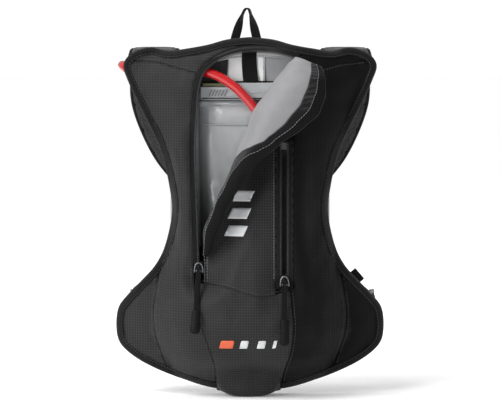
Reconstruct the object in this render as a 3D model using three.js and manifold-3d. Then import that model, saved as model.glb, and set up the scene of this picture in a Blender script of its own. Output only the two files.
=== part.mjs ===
// Hydration pack with its bladder, hose and four-point harness, mouth unzipped.
// Millimetres, +Z up, +X to the right seen from outside, -Y away from the wearer.
// The origin is the middle of the lumbar pad's flat rear face.
import * as THREE from 'three';
import Module from 'manifold-3d';

const wasm = await Module();
wasm.setup();

// Driving dimensions
const ORIGIN_HEIGHT = 95; // the origin above the lowest point of the pack
const GAP = 0.35; // between pieces that touch
const PAD = 7; // thickness of the back pads
const BOARD = 4; // thickness of the back panel
const EDGE_LOFT = 5; // outer fabric in front of the board at the bound edge
const WING_LOFT = 8; // extra padding in the middle of a wing
const HORN_SWEEP = 8; // how far the shoulder horns lean to the wearer
const WING_SWEEP = 24; // how far the hip wings lean to the wearer
const FABRIC = 1.6; // thickness of the outer fabric with its lining
const LINING = 1; // thickness of the loose lining sheet
const BINDING = 3.2; // width of the bound edge on the solid
const CELL = 15; // size of the facets of the soft surfaces
const TAPE_WIDTH = 4.2; // width of a zip tape
const TEETH = 1.8; // diameter of a zip's coil
const HOSE = 10; // outer diameter of the drinking hose
const WEBBING_THICK = 1.6;
const STRAP_WIDTH = 52; // width of a shoulder strap
const STRAP_THICK = 7;
const POCKET_DEPTH = 11; // room in the outside pocket

const FOLD_TOP = { x: 52.5, h: 356, y: -31 }; // line that the open front corner hinges on
const FOLD_END = { x: -46.5, h: 140, y: -59 };
const TRACK_LOW = { x: -58.5, h: 133, y: -59 }; // straight stretch of the main zip
const TRACK_HIGH = { x: -63, h: 255, y: -40 };
const SLIT_LOW = { x: 35.8, h: 120, y: -74 }; // pocket zip
const SLIT_HIGH = { x: 35.8, h: 264, y: -51 };

const COLOUR = {
  fabric: 0x313131,
  fabricDark: 0x1e1e1e,
  lining: 0x9a9a9a,
  webbing: 0x161616,
  mesh: 0x242424,
  binding: 0x141414,
  plastic: 0x1b1b1b,
  metal: 0x8d8f92,
  bladder: 0xaeb2b2,
  clip: 0xc9cbcb,
  olive: 0x77743a,
  hose: 0xb93135,
  label: 0xd6d6d6,
  silicone: 0x2c2c2c,
};

const pack = new THREE.Group();

// ---------------------------------------------------------------- helpers

const atHeight = (h) => h - ORIGIN_HEIGHT;
const mix = THREE.MathUtils.lerp;
const smooth = THREE.MathUtils.smoothstep;

function add(name, geometry, colour, roughness = 0.85, metalness = 0) {
  const material = new THREE.MeshStandardMaterial({ color: colour, roughness, metalness });
  const mesh = new THREE.Mesh(geometry, material);
  mesh.name = name;
  pack.add(mesh);
  return mesh;
}

function toSolid(geometry) {
  const bare = geometry.clone();
  bare.deleteAttribute('normal');
  bare.deleteAttribute('uv');
  const merged = weld(bare);
  const mesh = new wasm.Mesh({
    numProp: 3,
    vertProperties: new Float32Array(merged.positions),
    triVerts: new Uint32Array(merged.faces),
  });
  return new wasm.Manifold(mesh);
}

// Joins vertices that lie within a thousandth of a millimetre.
function weld(geometry) {
  const source = geometry.getAttribute('position');
  const index = geometry.index ? Array.from(geometry.index.array) : [...Array(source.count).keys()];
  const found = new Map();
  const positions = [];
  const number = [];
  for (let i = 0; i < source.count; i += 1) {
    const point = [source.getX(i), source.getY(i), source.getZ(i)];
    const key = point.map((value) => Math.round(value * 1000)).join(',');
    if (!found.has(key)) {
      found.set(key, positions.length / 3);
      positions.push(...point);
    }
    number.push(found.get(key));
  }
  const faces = [];
  for (let i = 0; i < index.length; i += 3) {
    const [a, b, c] = [number[index[i]], number[index[i + 1]], number[index[i + 2]]];
    if (a !== b && b !== c && a !== c) faces.push(a, b, c);
  }
  return { positions, faces };
}

function toGeometry(solid) {
  const mesh = solid.getMesh();
  const geometry = new THREE.BufferGeometry();
  geometry.setAttribute('position', new THREE.BufferAttribute(new Float32Array(mesh.vertProperties), 3));
  geometry.setIndex(new THREE.BufferAttribute(new Uint32Array(mesh.triVerts), 1));
  geometry.computeVertexNormals();
  return geometry;
}

const union = (...geometries) => toGeometry(wasm.Manifold.union(geometries.map(toSolid)));
const cut = (base, ...tools) => {
  const removed = wasm.Manifold.union(tools.map(toSolid));
  return toGeometry(toSolid(base).subtract(removed));
};
const common = (...geometries) => toGeometry(wasm.Manifold.intersection(geometries.map(toSolid)));

// Value at a height, through [height, value] pairs, without overshoot.
function profile(pairs) {
  return (h) => {
    if (h <= pairs[0][0]) return pairs[0][1];
    for (let i = 1; i < pairs.length; i += 1) {
      if (h <= pairs[i][0]) {
        const part = (h - pairs[i - 1][0]) / (pairs[i][0] - pairs[i - 1][0]);
        return mix(pairs[i - 1][1], pairs[i][1], part * part * (3 - 2 * part) * 0.35 + part * 0.65);
      }
    }
    return pairs.at(-1)[1];
  };
}

// Smooth line through [x, h] points.
function smoothLine(points, count) {
  const curve = new THREE.SplineCurve(points.map(([x, h]) => new THREE.Vector2(x, h)));
  return curve.getPoints(count).map((point) => [point.x, point.y]);
}

const mirrored = (points) => points.map(([x, h]) => [-x, h]);

// Moves an open line sideways; positive goes to the left of its direction.
function shifted(points, distance) {
  return points.map(([x, h], i) => {
    const before = points[Math.max(0, i - 1)];
    const after = points[Math.min(points.length - 1, i + 1)];
    const along = [after[0] - before[0], after[1] - before[1]];
    const length = Math.hypot(...along) || 1;
    return [x - (along[1] / length) * distance, h + (along[0] / length) * distance];
  });
}

// Upright slab whose outline is seen from the front, [x, h] points.
function prism(outline) {
  const shape = new THREE.Shape(outline.map(([x, h]) => new THREE.Vector2(x, atHeight(h))));
  const geometry = new THREE.ExtrudeGeometry(shape, { depth: 400, bevelEnabled: false });
  geometry.rotateX(Math.PI / 2);
  geometry.translate(0, 200, 0);
  return geometry;
}

// Soft layer between two surfaces y(x, h), kept inside every outline given.
function layer(outlines, outerSide, innerSide, cell = CELL) {
  const reach = outlines.map((points) => new THREE.Box2().setFromPoints(points.map((p) => new THREE.Vector2(...p))));
  const area = reach.reduce((all, box) => all.intersect(box)).expandByScalar(1);
  const columns = Math.max(1, Math.ceil((area.max.x - area.min.x) / cell));
  const rows = Math.max(1, Math.ceil((area.max.y - area.min.y) / cell));
  const rings = [];
  for (let i = 0; i <= rows; i += 1) {
    const h = mix(area.min.y, area.max.y, i / rows);
    const across = [...Array(columns + 1).keys()].map((j) => mix(area.min.x, area.max.x, j / columns));
    rings.push([
      ...across.map((x) => new THREE.Vector3(x, outerSide(x, h), atHeight(h))),
      ...across.reverse().map((x) => new THREE.Vector3(x, innerSide(x, h), atHeight(h))),
    ]);
  }
  return common(sheetOf(rings), ...outlines.map((points) => prism(points)));
}

// Closed sweep of a flat section along points, its width kept along the hints.
function ribbon(points, width, thickness, widthHints, steps = 24) {
  const curve = new THREE.CatmullRomCurve3(points.map((p) => new THREE.Vector3(...p)), false, 'centripetal');
  const hints = widthHints.map((hint) => new THREE.Vector3(...hint));
  const [u, v] = [width / 2, thickness / 2];
  const section = [[-u, -v], [u, -v], [u, v], [-u, v]];
  const rings = [];
  for (let i = 0; i <= steps; i += 1) {
    const part = i / steps;
    const centre = curve.getPointAt(part);
    const along = curve.getTangentAt(part);
    const place = part * (hints.length - 1);
    const first = Math.max(0, Math.min(Math.floor(place), hints.length - 2));
    const second = Math.min(first + 1, hints.length - 1);
    const hint = hints[first].clone().lerp(hints[second], place - first);
    const across = hint.addScaledVector(along, -hint.dot(along)).normalize();
    const normal = new THREE.Vector3().crossVectors(along, across);
    rings.push(section.map(([a, b]) => centre.clone().addScaledVector(across, a).addScaledVector(normal, b)));
  }
  return sheetOf(rings);
}

// Closed solid from rings of points: the first half of a ring runs along one face, the second half
// comes back along the other, so that both faces are split into the same triangles.
function sheetOf(rings) {
  const count = rings[0].length;
  const half = count / 2;
  const positions = rings.flat().flatMap((p) => [p.x, p.y, p.z]);
  const faces = [];
  for (let i = 0; i < rings.length - 1; i += 1) {
    for (let j = 0; j < count; j += 1) {
      const a = i * count + j;
      const b = i * count + ((j + 1) % count);
      if (j < half) faces.push(a, b, b + count, a, b + count, a + count);
      else faces.push(a, b, a + count, b, b + count, a + count);
    }
  }
  const last = (rings.length - 1) * count;
  for (let j = 0; j < half - 1; j += 1) {
    const [a, b, c, d] = [j, j + 1, count - 2 - j, count - 1 - j];
    faces.push(a, c, b, a, d, c);
    faces.push(last + a, last + b, last + c, last + a, last + c, last + d);
  }
  const geometry = new THREE.BufferGeometry();
  geometry.setAttribute('position', new THREE.BufferAttribute(new Float32Array(positions), 3));
  geometry.setIndex(faces);
  if (volumeOf(geometry) < 0) geometry.setIndex(faces.reverse());
  return geometry;
}

function volumeOf(geometry) {
  const position = geometry.getAttribute('position');
  const index = geometry.index.array;
  const corners = [new THREE.Vector3(), new THREE.Vector3(), new THREE.Vector3()];
  let volume = 0;
  for (let i = 0; i < index.length; i += 3) {
    corners.forEach((corner, j) => corner.fromBufferAttribute(position, index[i + j]));
    volume += corners[0].dot(corners[1].clone().cross(corners[2])) / 6;
  }
  return volume;
}

// Round bar along a smooth line of [x, y, z] points.
function bar(points, diameter, steps, sides = 8) {
  const curve = new THREE.CatmullRomCurve3(points.map((p) => new THREE.Vector3(...p)), false, 'centripetal');
  const circle = new THREE.Shape();
  for (let i = 0; i < sides; i += 1) {
    const angle = (i / sides) * 2 * Math.PI;
    const corner = [(diameter / 2) * Math.cos(angle), (diameter / 2) * Math.sin(angle)];
    if (i === 0) circle.moveTo(...corner);
    else circle.lineTo(...corner);
  }
  circle.closePath();
  return new THREE.ExtrudeGeometry(circle, { steps, bevelEnabled: false, extrudePath: curve });
}

// Cylinder from one point to another.
function rod(from, to, diameter, sides = 16, endDiameter = diameter) {
  const start = new THREE.Vector3(...from);
  const end = new THREE.Vector3(...to);
  const geometry = new THREE.CylinderGeometry(endDiameter / 2, diameter / 2, start.distanceTo(end), sides);
  const turn = new THREE.Quaternion().setFromUnitVectors(
    new THREE.Vector3(0, 1, 0),
    end.clone().sub(start).normalize(),
  );
  geometry.applyQuaternion(turn);
  geometry.translate(...start.add(end).multiplyScalar(0.5).toArray());
  return geometry;
}

function block(size, centre, tilt = [0, 0, 0]) {
  const geometry = new THREE.BoxGeometry(...size);
  geometry.rotateX(tilt[0]);
  geometry.rotateY(tilt[1]);
  geometry.rotateZ(tilt[2]);
  geometry.translate(...centre);
  return geometry;
}

// ---------------------------------------------------------------- outline and surfaces

const HALF_OUTLINE = [
  [0, 0],
  [37, 2],
  [73.5, 12.6],
  [105, 25],
  [126, 36.5],
  [139, 49],
  [142.4, 66],
  [140, 85],
  [131, 98],
  [115.5, 114.5],
  [100, 132],
  [89.5, 153],
  [82.5, 185],
  [84, 211],
  [94.5, 255],
  [118.6, 305],
  [129, 328],
  [133.8, 343],
  [128, 353.5],
  [116, 360],
  [103, 362],
  [86, 358.5],
  [66, 361],
  [44, 365],
  [24, 370.5],
  [0, 373],
];
const rightEdge = smoothLine(HALF_OUTLINE, 50);
const outline = [...rightEdge, ...mirrored(rightEdge).reverse().slice(1, -1)];

// The outline moved inward by a distance.
function inset(distance) {
  return outline.map(([x, h], i) => {
    const before = outline[(i + outline.length - 1) % outline.length];
    const after = outline[(i + 1) % outline.length];
    const along = [after[0] - before[0], after[1] - before[1]];
    const length = Math.hypot(...along);
    return [x - (along[1] / length) * distance, h + (along[0] / length) * distance];
  });
}

const compartmentDepth = profile([
  [0, 3],
  [14, 22],
  [40, 50],
  [75, 66],
  [110, 66],
  [150, 57],
  [200, 47],
  [260, 39],
  [320, 31],
  [350, 20],
  [364, 9],
  [375, 3],
]);
const compartmentHalfWidth = profile([
  [0, 52],
  [20, 82],
  [64, 108],
  [100, 104],
  [132, 92],
  [185, 81],
  [230, 85],
  [300, 106],
  [335, 118],
  [352, 108],
  [375, 60],
]);

// Rear face of the board, next to the wearer.
function rearFace(x, h) {
  const aside = Math.max(0, Math.abs(x) - 70);
  const wing = WING_SWEEP * (aside / 72) ** 2 * (1 - smooth(h, 105, 185));
  const horn = HORN_SWEEP * (aside / 63) ** 2 * smooth(h, 240, 335);
  return -PAD + wing + horn;
}

const boardFace = (x, h) => rearFace(x, h) - BOARD;

// Pulls a surface to a straight line that runs through it.
function settle(y, x, h, from, to, reach) {
  const along = new THREE.Vector2(to.x - from.x, to.h - from.h);
  const offset = new THREE.Vector2(x - from.x, h - from.h);
  const place = THREE.MathUtils.clamp(offset.dot(along) / along.lengthSq(), -0.06, 1.06);
  const distance = offset.addScaledVector(along, -place).length();
  return mix(mix(from.y, to.y, place), y, smooth(distance, 4, reach));
}

// Outer face of the pack's front.
function outerFace(x, h) {
  const across = Math.min(1, Math.abs(x) / compartmentHalfWidth(h));
  const bulge = (compartmentDepth(h) - 2) * (1 - across ** 2.6) ** 0.85;
  const wing = WING_LOFT * (1 - Math.min(1, Math.abs(x) / 142) ** 4) * (1 - smooth(h, 120, 170));
  const padding = wing * smooth(h, 0, 40);
  let y = boardFace(x, h) - EDGE_LOFT - bulge - padding;
  y = settle(y, x, h, SLIT_LOW, SLIT_HIGH, 34);
  y = settle(y, x, h, FOLD_TOP, FOLD_END, 34);
  y = settle(y, x, h, TRACK_LOW, TRACK_HIGH, 24);
  return y;
}

const innerFace = (x, h) => outerFace(x, h) + FABRIC;

const onFront = ([x, h], lift = 0) => [x, outerFace(x, h) - lift, atHeight(h)];

// ---------------------------------------------------------------- seams, [x, h] from low to high

const trackPoints = [
  [TRACK_LOW.x, TRACK_LOW.h],
  [-60.7, 194],
  [TRACK_HIGH.x, TRACK_HIGH.h],
  [-61.5, 285],
  [-59.6, 312],
  [-54.5, 335],
  [-43, 348.5],
  [-27, 357.5],
  [-8, 362.5],
  [14, 363.5],
  [34, 360.5],
  [52, 355.5],
];
const track = smoothLine(trackPoints, 30);
const lobeSeam = smoothLine([[-36, -20], [-35.7, 10.5], [-36.4, 31], [-43, 52], [-53, 84], [-57.5, 112], [-58.5, 133]], 9);
const wingSeam = smoothLine([[-76, -20], [-80, 5], [-91, 34], [-99, 60], [-101.5, 85], [-98, 112], [-99, 128], [-130, 142]], 11);
const yokeSeam = [[-200, 353], [-128, 350], [-110, 347.6], [-94, 346], [-77.7, 341], [-54.5, 335]];
const archSeam = smoothLine([[-57.5, 116], [-48, 116.6], [-23, 113.8], [-1, 107], [14, 104], [27, 106], [41, 112]], 8);
const rightLobeSeam = smoothLine([[32, -20], [33, 9.5], [36.2, 27], [42, 46], [44.5, 70], [43, 95], [41, 112]], 9);

const SLIT_HALF = 2.3; // half of the open gap between the pocket zip's two coils
const COIL_LINE = GAP + TAPE_WIDTH + TEETH * 0.3; // middle of a coil beyond its panel's edge
const pocketLeft = SLIT_LOW.x - SLIT_HALF - TEETH - TAPE_WIDTH - GAP;
const pocketRight = SLIT_LOW.x + SLIT_HALF + TEETH + TAPE_WIDTH + GAP;
const pocketTop = SLIT_HIGH.h + 5;
const pocketFoot = SLIT_LOW.h - 7;
const PANEL_INSET = BINDING + GAP;

// A panel of the outer fabric inside every region given.
function frontPanel(name, regions, colour) {
  add(name, layer([inset(PANEL_INSET), ...regions], outerFace, innerFace), colour, 0.9);
}

function foldAt(h) {
  return mix(FOLD_END.x, FOLD_TOP.x, (h - FOLD_END.h) / (FOLD_TOP.h - FOLD_END.h));
}

function buildFrontPanels() {
  const half = GAP / 2;
  const leftWing = [...shifted(wingSeam, half), [-200, 142], [-200, -20]];
  const besideWing = [...shifted(wingSeam, -half), [-130, 400], [200, 400], [200, -20]];
  const leftOfTrack = [
    ...shifted(lobeSeam, half),
    ...shifted(track, half).slice(1).filter(([x]) => x < -14),
    [-14, 400],
    [-210, 400],
    [-210, -20],
  ];
  const belowYoke = [...shifted(yokeSeam, -half), [-40, 332], [0, 332], [0, -30], [-200, -30]];
  const aboveYoke = [...shifted(yokeSeam, half), [-40, 332], [0, 332], [0, 410], [-200, 410]];
  frontPanel('left_wing_panel', [leftWing], COLOUR.fabric);
  frontPanel('right_wing_panel', [mirrored(leftWing)], COLOUR.fabricDark);
  frontPanel('left_side_panel', [leftOfTrack, belowYoke, besideWing], COLOUR.fabric);
  frontPanel('left_yoke_panel', [leftOfTrack, aboveYoke], COLOUR.fabric);

  const rightOfFold = [
    [FOLD_END.x + 1.2, FOLD_END.h],
    [FOLD_TOP.x + 1.2, FOLD_TOP.h],
    [59, 362],
    [59, 420],
    [220, 420],
    [220, -40],
    [FOLD_END.x - 1.5, -40],
    [FOLD_END.x - 1.5, FOLD_END.h - 6],
  ];
  frontPanel('right_yoke_panel', [rightOfFold, mirrored(aboveYoke)], COLOUR.fabricDark);

  const centre = [
    ...shifted(archSeam, half).filter(([x]) => x < pocketLeft - 3),
    [pocketLeft, pocketFoot + 1],
    [pocketLeft, pocketTop],
    [SLIT_LOW.x - half, pocketTop],
    [SLIT_LOW.x - half, 322],
    [-90, 322],
  ];
  frontPanel('centre_panel', [rightOfFold, centre], COLOUR.fabric);

  const rightSide = [
    ...shifted(rightLobeSeam, -half).slice(0, -1),
    [pocketRight, pocketFoot],
    [pocketRight, pocketTop],
    [SLIT_LOW.x + half, pocketTop],
    [SLIT_LOW.x + half, 322],
    [SLIT_LOW.x + half, 400],
    [200, 400],
    [200, -20],
  ];
  frontPanel('right_side_panel', [rightOfFold, rightSide, mirrored(belowYoke), mirrored(besideWing)],
    COLOUR.fabricDark);

  const lowerCentre = [
    ...shifted(lobeSeam, -half).filter(([, h]) => h < 112),
    ...shifted(archSeam, -half).slice(1, -1),
    ...shifted(rightLobeSeam, half).reverse().slice(1),
  ];
  frontPanel('lower_centre_panel', [lowerCentre], COLOUR.fabric);
}

// ---------------------------------------------------------------- back of the pack

const rectangle = (left, low, right, high) => [[left, low], [right, low], [right, high], [left, high]];

function buildBack() {
  const board = layer([inset(PANEL_INSET)], boardFace, rearFace, 19);
  add('back_panel', cut(board, prism(rectangle(-85, 325, -59, 345))), COLOUR.mesh, 0.95);

  const hosePort = layer(
    [rectangle(-85 + GAP, 325 + GAP, -59 - GAP, 345 - GAP)],
    (x, h) => boardFace(x, h) - 1.5,
    (x, h) => rearFace(x, h) + 1,
    30,
  );
  const bore = rod([-58, -23.8, atHeight(338.6)], [-80, 2.6, atHeight(329.8)], HOSE + 2.4, 14);
  add('hose_port', cut(hosePort, bore), COLOUR.silicone, 0.6);

  const ring = layer([inset(0)], (x, h) => outerFace(x, h) - 0.4, (x, h) => rearFace(x, h) + 0.4, 22);
  add('edge_binding', cut(ring, prism(inset(BINDING))), COLOUR.binding, 0.9);

  const padFront = () => -PAD + GAP;
  const padRear = () => 0;
  const sidePad = smoothLine([[14, 150], [66, 150], [66, 200], [72, 250], [84, 300], [60, 322], [14, 322]], 16);
  const lumbar = smoothLine([[-62, 72], [-58, 66], [0, 64], [58, 66], [62, 72], [64, 95], [56, 126], [0, 134],
    [-56, 126], [-64, 95], [-62, 72]], 24).slice(0, -1);
  add('back_pad_right', layer([sidePad], padFront, padRear, 400), COLOUR.mesh, 0.95);
  add('back_pad_left', layer([mirrored(sidePad)], padFront, padRear, 400), COLOUR.mesh, 0.95);
  add('back_pad_lumbar', layer([lumbar], padFront, padRear, 400), COLOUR.mesh, 0.95);

  const sheet = layer(
    [inset(9), rectangle(-86, 150, 86, 368)],
    (x, h) => boardFace(x, h) - GAP - LINING,
    (x, h) => boardFace(x, h) - GAP,
    22,
  );
  add('mouth_lining', cut(sheet, prism(rectangle(-88, 321, -56, 349))), COLOUR.lining, 0.8);
}

// Loop of webbing at the top, turned edge-on at its apex.
function buildGrabLoop() {
  add('grab_loop', ribbon([
    [-17.5, -4.4, atHeight(352)],
    [-16.4, -4.4, atHeight(368)],
    [-12.8, -4.4, atHeight(382)],
    [-8.4, -4.4, atHeight(396)],
    [-4.6, -4.4, atHeight(403)],
    [-1.6, -4.4, atHeight(403)],
    [1.6, -4.4, atHeight(394)],
    [5.2, -4.4, atHeight(380)],
    [8.2, -4.4, atHeight(366)],
    [9.4, -4.4, atHeight(352)],
  ], 9.6, 1.7, [[1, 0, 0], [1, 0, 0], [0.9, 0.3, 0], [0.25, 1, 0], [0.25, 1, 0], [0.9, 0.3, 0], [1, 0, 0], [1, 0, 0]], 24),
  COLOUR.webbing, 0.9);
}

// ---------------------------------------------------------------- zips

// Tape beside a line with the coil sewn to its far edge; side is +1 to the right of an upward line.
function zipHalf(name, line, side, steps) {
  const strip = [
    ...shifted(line, -side * GAP),
    ...shifted(line, -side * (GAP + TAPE_WIDTH)).reverse(),
  ];
  const tape = layer([strip], (x, h) => outerFace(x, h) + 0.3, (x, h) => outerFace(x, h) + 1.3, 12);
  const edge = shifted(line, -side * COIL_LINE);
  const path = edge.filter((point, i) => i % 3 === 0 || i === edge.length - 1);
  const coil = bar(path.map((point) => onFront(point, -0.8)), TEETH, steps, 6);
  add(name, union(tape, coil), COLOUR.webbing, 0.8);
}

// Two plates joined by a post beside or between the coils.
function sliderBody(at, tilt, bridge) {
  const body = union(
    block([9, 1.4, 10.5], [0, -2.7, 0]),
    block([9, 1.4, 10.5], [0, 2.9, 0]),
    block([2.2, 6.4, 3], [bridge, 0.1, -3]),
    block([2, 3, 5], [0, -4.2, -1.5]),
  );
  body.rotateX(tilt);
  body.translate(...at);
  return body;
}

// Hangs a piece made around the z axis, its top at the origin, from a slider's ring.
function hang(geometry, top, lean, outward) {
  geometry.rotateX(outward);
  geometry.rotateY(lean);
  geometry.translate(...top);
  return geometry;
}

function buildZipPull(prefix, slider, lean, cordLength, gripLength) {
  const top = [slider[0], slider[1] - 8.4, slider[2] - 4];
  const reach = cordLength + gripLength;
  const heights = [0.4, 0.6, 0.8, 1].map((part) => slider[2] + ORIGIN_HEIGHT - reach * part);
  const outward = Math.max(...heights.map((h, i) => {
    const rest = outerFace(top[0], h) - 4.6;
    return Math.atan2(top[1] - rest, reach * [0.4, 0.6, 0.8, 1][i]);
  }), 0);
  const cord = union(
    rod([0, 0, 1.6], [0, 0, -cordLength], 2.2, 8),
    block([6, 1.6, 3.8], [0, 0, 0]),
  );
  const grip = rod([0, 0, -cordLength - GAP], [0, 0, -cordLength - gripLength], 6.4, 10, 9);
  grip.scale(1, 0.62, 1);
  add(`${prefix}_pull_cord`, hang(cord, top, lean, -outward), COLOUR.webbing, 0.9);
  add(`${prefix}_pull_grip`, hang(grip, top, lean, -outward), COLOUR.silicone, 0.6);
}

function buildZips() {
  zipHalf('main_zip_left_half', track, 1, 30);
  const slitLine = (x) => [0, 0.25, 0.5, 0.75, 1].map((part) => [x, mix(SLIT_LOW.h, SLIT_HIGH.h, part)]);
  zipHalf('pocket_zip_left_half', slitLine(pocketLeft), 1, 4);
  zipHalf('pocket_zip_right_half', slitLine(pocketRight), -1, 4);

  const mainTilt = Math.atan2(TRACK_HIGH.y - TRACK_LOW.y, TRACK_HIGH.h - TRACK_LOW.h);
  const mainAt = [TRACK_LOW.x + COIL_LINE, TRACK_LOW.y + 0.8, atHeight(TRACK_LOW.h + 1)];
  add('main_zip_slider', sliderBody(mainAt, -mainTilt, 2.5), COLOUR.metal, 0.4, 0.9);
  buildZipPull('main_zip', mainAt, 0.06, 42, 26);

  const slitTilt = Math.atan2(SLIT_HIGH.y - SLIT_LOW.y, SLIT_HIGH.h - SLIT_LOW.h);
  const slitAt = [SLIT_LOW.x, SLIT_LOW.y - 0.4, atHeight(SLIT_LOW.h + 1)];
  add('pocket_zip_slider', sliderBody(slitAt, -slitTilt, 0), COLOUR.metal, 0.4, 0.9);
  buildZipPull('pocket_zip', slitAt, 0, 36, 27);
}

// Shallow tray behind the centre panel; its open side is closed by the panel.
function buildPocket() {
  const room = [[-27, 124], [pocketRight, 124], [pocketRight, 256], [11, 256], [-27, 184]];
  const space = [[-25.8, 125.2], [pocketRight - 1.2, 125.2], [pocketRight - 1.2, 254.8], [11.7, 254.8],
    [-25.8, 183.7]];
  const front = (x, h) => outerFace(x, h) + FABRIC + TEETH;
  const tray = layer([room], front, (x, h) => front(x, h) + POCKET_DEPTH, 18);
  const hollow = layer([space], (x, h) => front(x, h) - 3, (x, h) => front(x, h) + POCKET_DEPTH - 1.2, 18);
  add('pocket_bag', cut(tray, hollow), COLOUR.lining, 0.8);
}

// ---------------------------------------------------------------- folded corner of the front

const flapFold = new THREE.Vector3(FOLD_END.x - FOLD_TOP.x, FOLD_END.y - FOLD_TOP.y, FOLD_END.h - FOLD_TOP.h);
const FLAP_START = 9; // along the fold, from its top
const FLAP_END = flapFold.length() - 13;
flapFold.normalize();
const flapSide = new THREE.Vector3(-flapFold.z, 0, flapFold.x).normalize();
const flapOut = new THREE.Vector3().crossVectors(flapFold, flapSide).normalize();

// Roll of the corner at a place t along the fold: how far it goes left, right and out.
const flapRight = profile([[0, 20], [18, 34], [36, 41], [55, 42], [75, 33], [100, 18], [130, 3], [175, -4], [228, -1], [245, 0]]);
const flapRoll = profile([[0, 2], [20, 6], [50, 12], [85, 15], [150, 12], [200, 8], [245, 1]]);
const flapHeight = profile([[0, 15], [25, 36], [60, 50], [100, 52], [150, 40], [200, 24], [245, 5]]);

function flapPoint(t, v) {
  const [right, roll, out] = [flapRight(t), flapRoll(t), flapHeight(t)];
  const curve = new THREE.CubicBezierCurve(
    new THREE.Vector2(0, 0.6),
    new THREE.Vector2(-1.5 * roll, 0.25 * out),
    new THREE.Vector2(-1.1 * roll, 1.25 * out),
    new THREE.Vector2(right, out),
  );
  const point = curve.getPoint(v);
  return new THREE.Vector3(FOLD_TOP.x, FOLD_TOP.y, atHeight(FOLD_TOP.h))
    .addScaledVector(flapFold, t)
    .addScaledVector(flapSide, point.x)
    .addScaledVector(flapOut, point.y);
}

// Closed sheet over a patch of the roll, with a thickness to its left side.
function flapSheet(fromV, toV, thickness, lift, rows = 20, columns = 8) {
  const rings = [];
  for (let i = 0; i <= rows; i += 1) {
    const t = mix(FLAP_START, FLAP_END, i / rows);
    const outerSide = [];
    const innerSide = [];
    for (let j = 0; j <= columns; j += 1) {
      const v = mix(fromV(t), toV(t), j / columns);
      const point = flapPoint(t, v);
      const along = flapPoint(t + 1, v).sub(flapPoint(t - 1, v));
      const across = flapPoint(t, v + 0.01).sub(flapPoint(t, v - 0.01));
      const normal = along.cross(across).normalize();
      outerSide.push(point.clone().addScaledVector(normal, lift));
      innerSide.push(point.clone().addScaledVector(normal, lift + thickness));
    }
    rings.push([...outerSide, ...innerSide.reverse()]);
  }
  return sheetOf(rings);
}

function buildFlap() {
  const share = (t, width) => 1 - width / Math.max(12, flapHeight(t) * 1.6);
  add('flap_panel', flapSheet(() => 0.03, (t) => share(t, 7.4), FABRIC, 0), COLOUR.lining, 0.85);
  const tape = flapSheet((t) => share(t, 6.6), (t) => share(t, 1), 1, 0.2, 20, 2);
  const edge = [];
  for (let i = 0; i <= 20; i += 1) {
    const t = mix(FLAP_START, FLAP_END, i / 20);
    edge.push(flapPoint(t, share(t, 0.6)).toArray());
  }
  add('flap_zip_half', union(tape, bar(edge, TEETH, 24, 6)), COLOUR.webbing, 0.8);
}

// ---------------------------------------------------------------- bladder and its fittings

const BLADDER = { x: 3, halfWidth: 56, low: 30, high: 307 };
const bladderRear = (x, h) => boardFace(x, h) - GAP * 2 - LINING - 1;

const bladderDepth = profile([[30, 3], [45, 16], [75, 27], [110, 27], [150, 21], [190, 11], [225, 5], [280, 4], [307, 2]]);

function bladderFront(x, h) {
  const across = Math.min(1, Math.abs(x - BLADDER.x) / BLADDER.halfWidth);
  return bladderRear(x, h) - 4 - bladderDepth(h) * (1 - across ** 4) ** 0.6;
}

const QUICK = { x: 36, h: 86 };

function buildBladder() {
  const { x, halfWidth, low, high } = BLADDER;
  const body = smoothLine([
    [x - halfWidth, high], [x - halfWidth, high - 60], [x - halfWidth + 2, low + 60], [x - halfWidth + 8, low + 16],
    [x - halfWidth + 30, low], [x + halfWidth - 30, low], [x + halfWidth - 8, low + 16],
    [x + halfWidth - 2, low + 60], [x + halfWidth, high - 60], [x + halfWidth, high],
  ], 30);
  add('bladder_body', layer([body], bladderFront, bladderRear, 19), COLOUR.bladder, 0.35);

  const clipMiddle = (high + GAP + 321) / 2;
  const clipHeight = 321 - high - GAP;
  const ribs = [0, 1, 2, 3, 4].map((i) => block([1.2, 1.2, 8], [-44 + i * 3.2, -23.6, atHeight(clipMiddle)], [0, 0.35, 0]));
  add('bladder_slide_clip', union(
    block([2 * halfWidth - 2, 6.4, clipHeight], [x, -19.9, atHeight(clipMiddle)]),
    ...ribs,
  ), COLOUR.clip, 0.3);
  add('bladder_top_rail', block([2 * halfWidth - 6, 3, 3.4], [x, -18.4, atHeight(323.1)]), COLOUR.olive, 0.5);

  add('care_label', block([40, 0.6, 34], [-4.2, -13.5, atHeight(342)]), COLOUR.label, 0.6);
  add('bladder_hanger', ribbon([
    [-0.9, -16.6, atHeight(359)],
    [-0.9, -16.2, atHeight(350)],
    [-0.4, -16.6, atHeight(338)],
    [0.8, -18.4, atHeight(326.5)],
  ], 15.8, 1.6, [[1, 0, 0]], 8), COLOUR.webbing, 0.9);

  const face = bladderFront(QUICK.x, QUICK.h) - 2.6;
  const z = atHeight(QUICK.h);
  add('quick_connect_port', union(
    rod([QUICK.x, face, z], [QUICK.x, face - 3, z], 25, 18),
    rod([QUICK.x, face - 2.5, z], [QUICK.x, face - 8, z], 17, 14),
  ), COLOUR.plastic, 0.4);
  const elbow = union(
    rod([QUICK.x, face - 8 - GAP, z], [QUICK.x, face - 18, z], 16, 14),
    rod([QUICK.x, face - 13, z], [49.4, -65, atHeight(111)], 9, 12),
  );
  const buttonRoom = block([8, 5, 7], [QUICK.x - 7, face - 13, z]);
  add('quick_connect_elbow', cut(elbow, buttonRoom), COLOUR.plastic, 0.4);
  add('quick_connect_button', block([4, 4.2, 6], [QUICK.x - 8.4, face - 13, z]), COLOUR.hose, 0.5);
}

// ---------------------------------------------------------------- hose and bite valve

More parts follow.
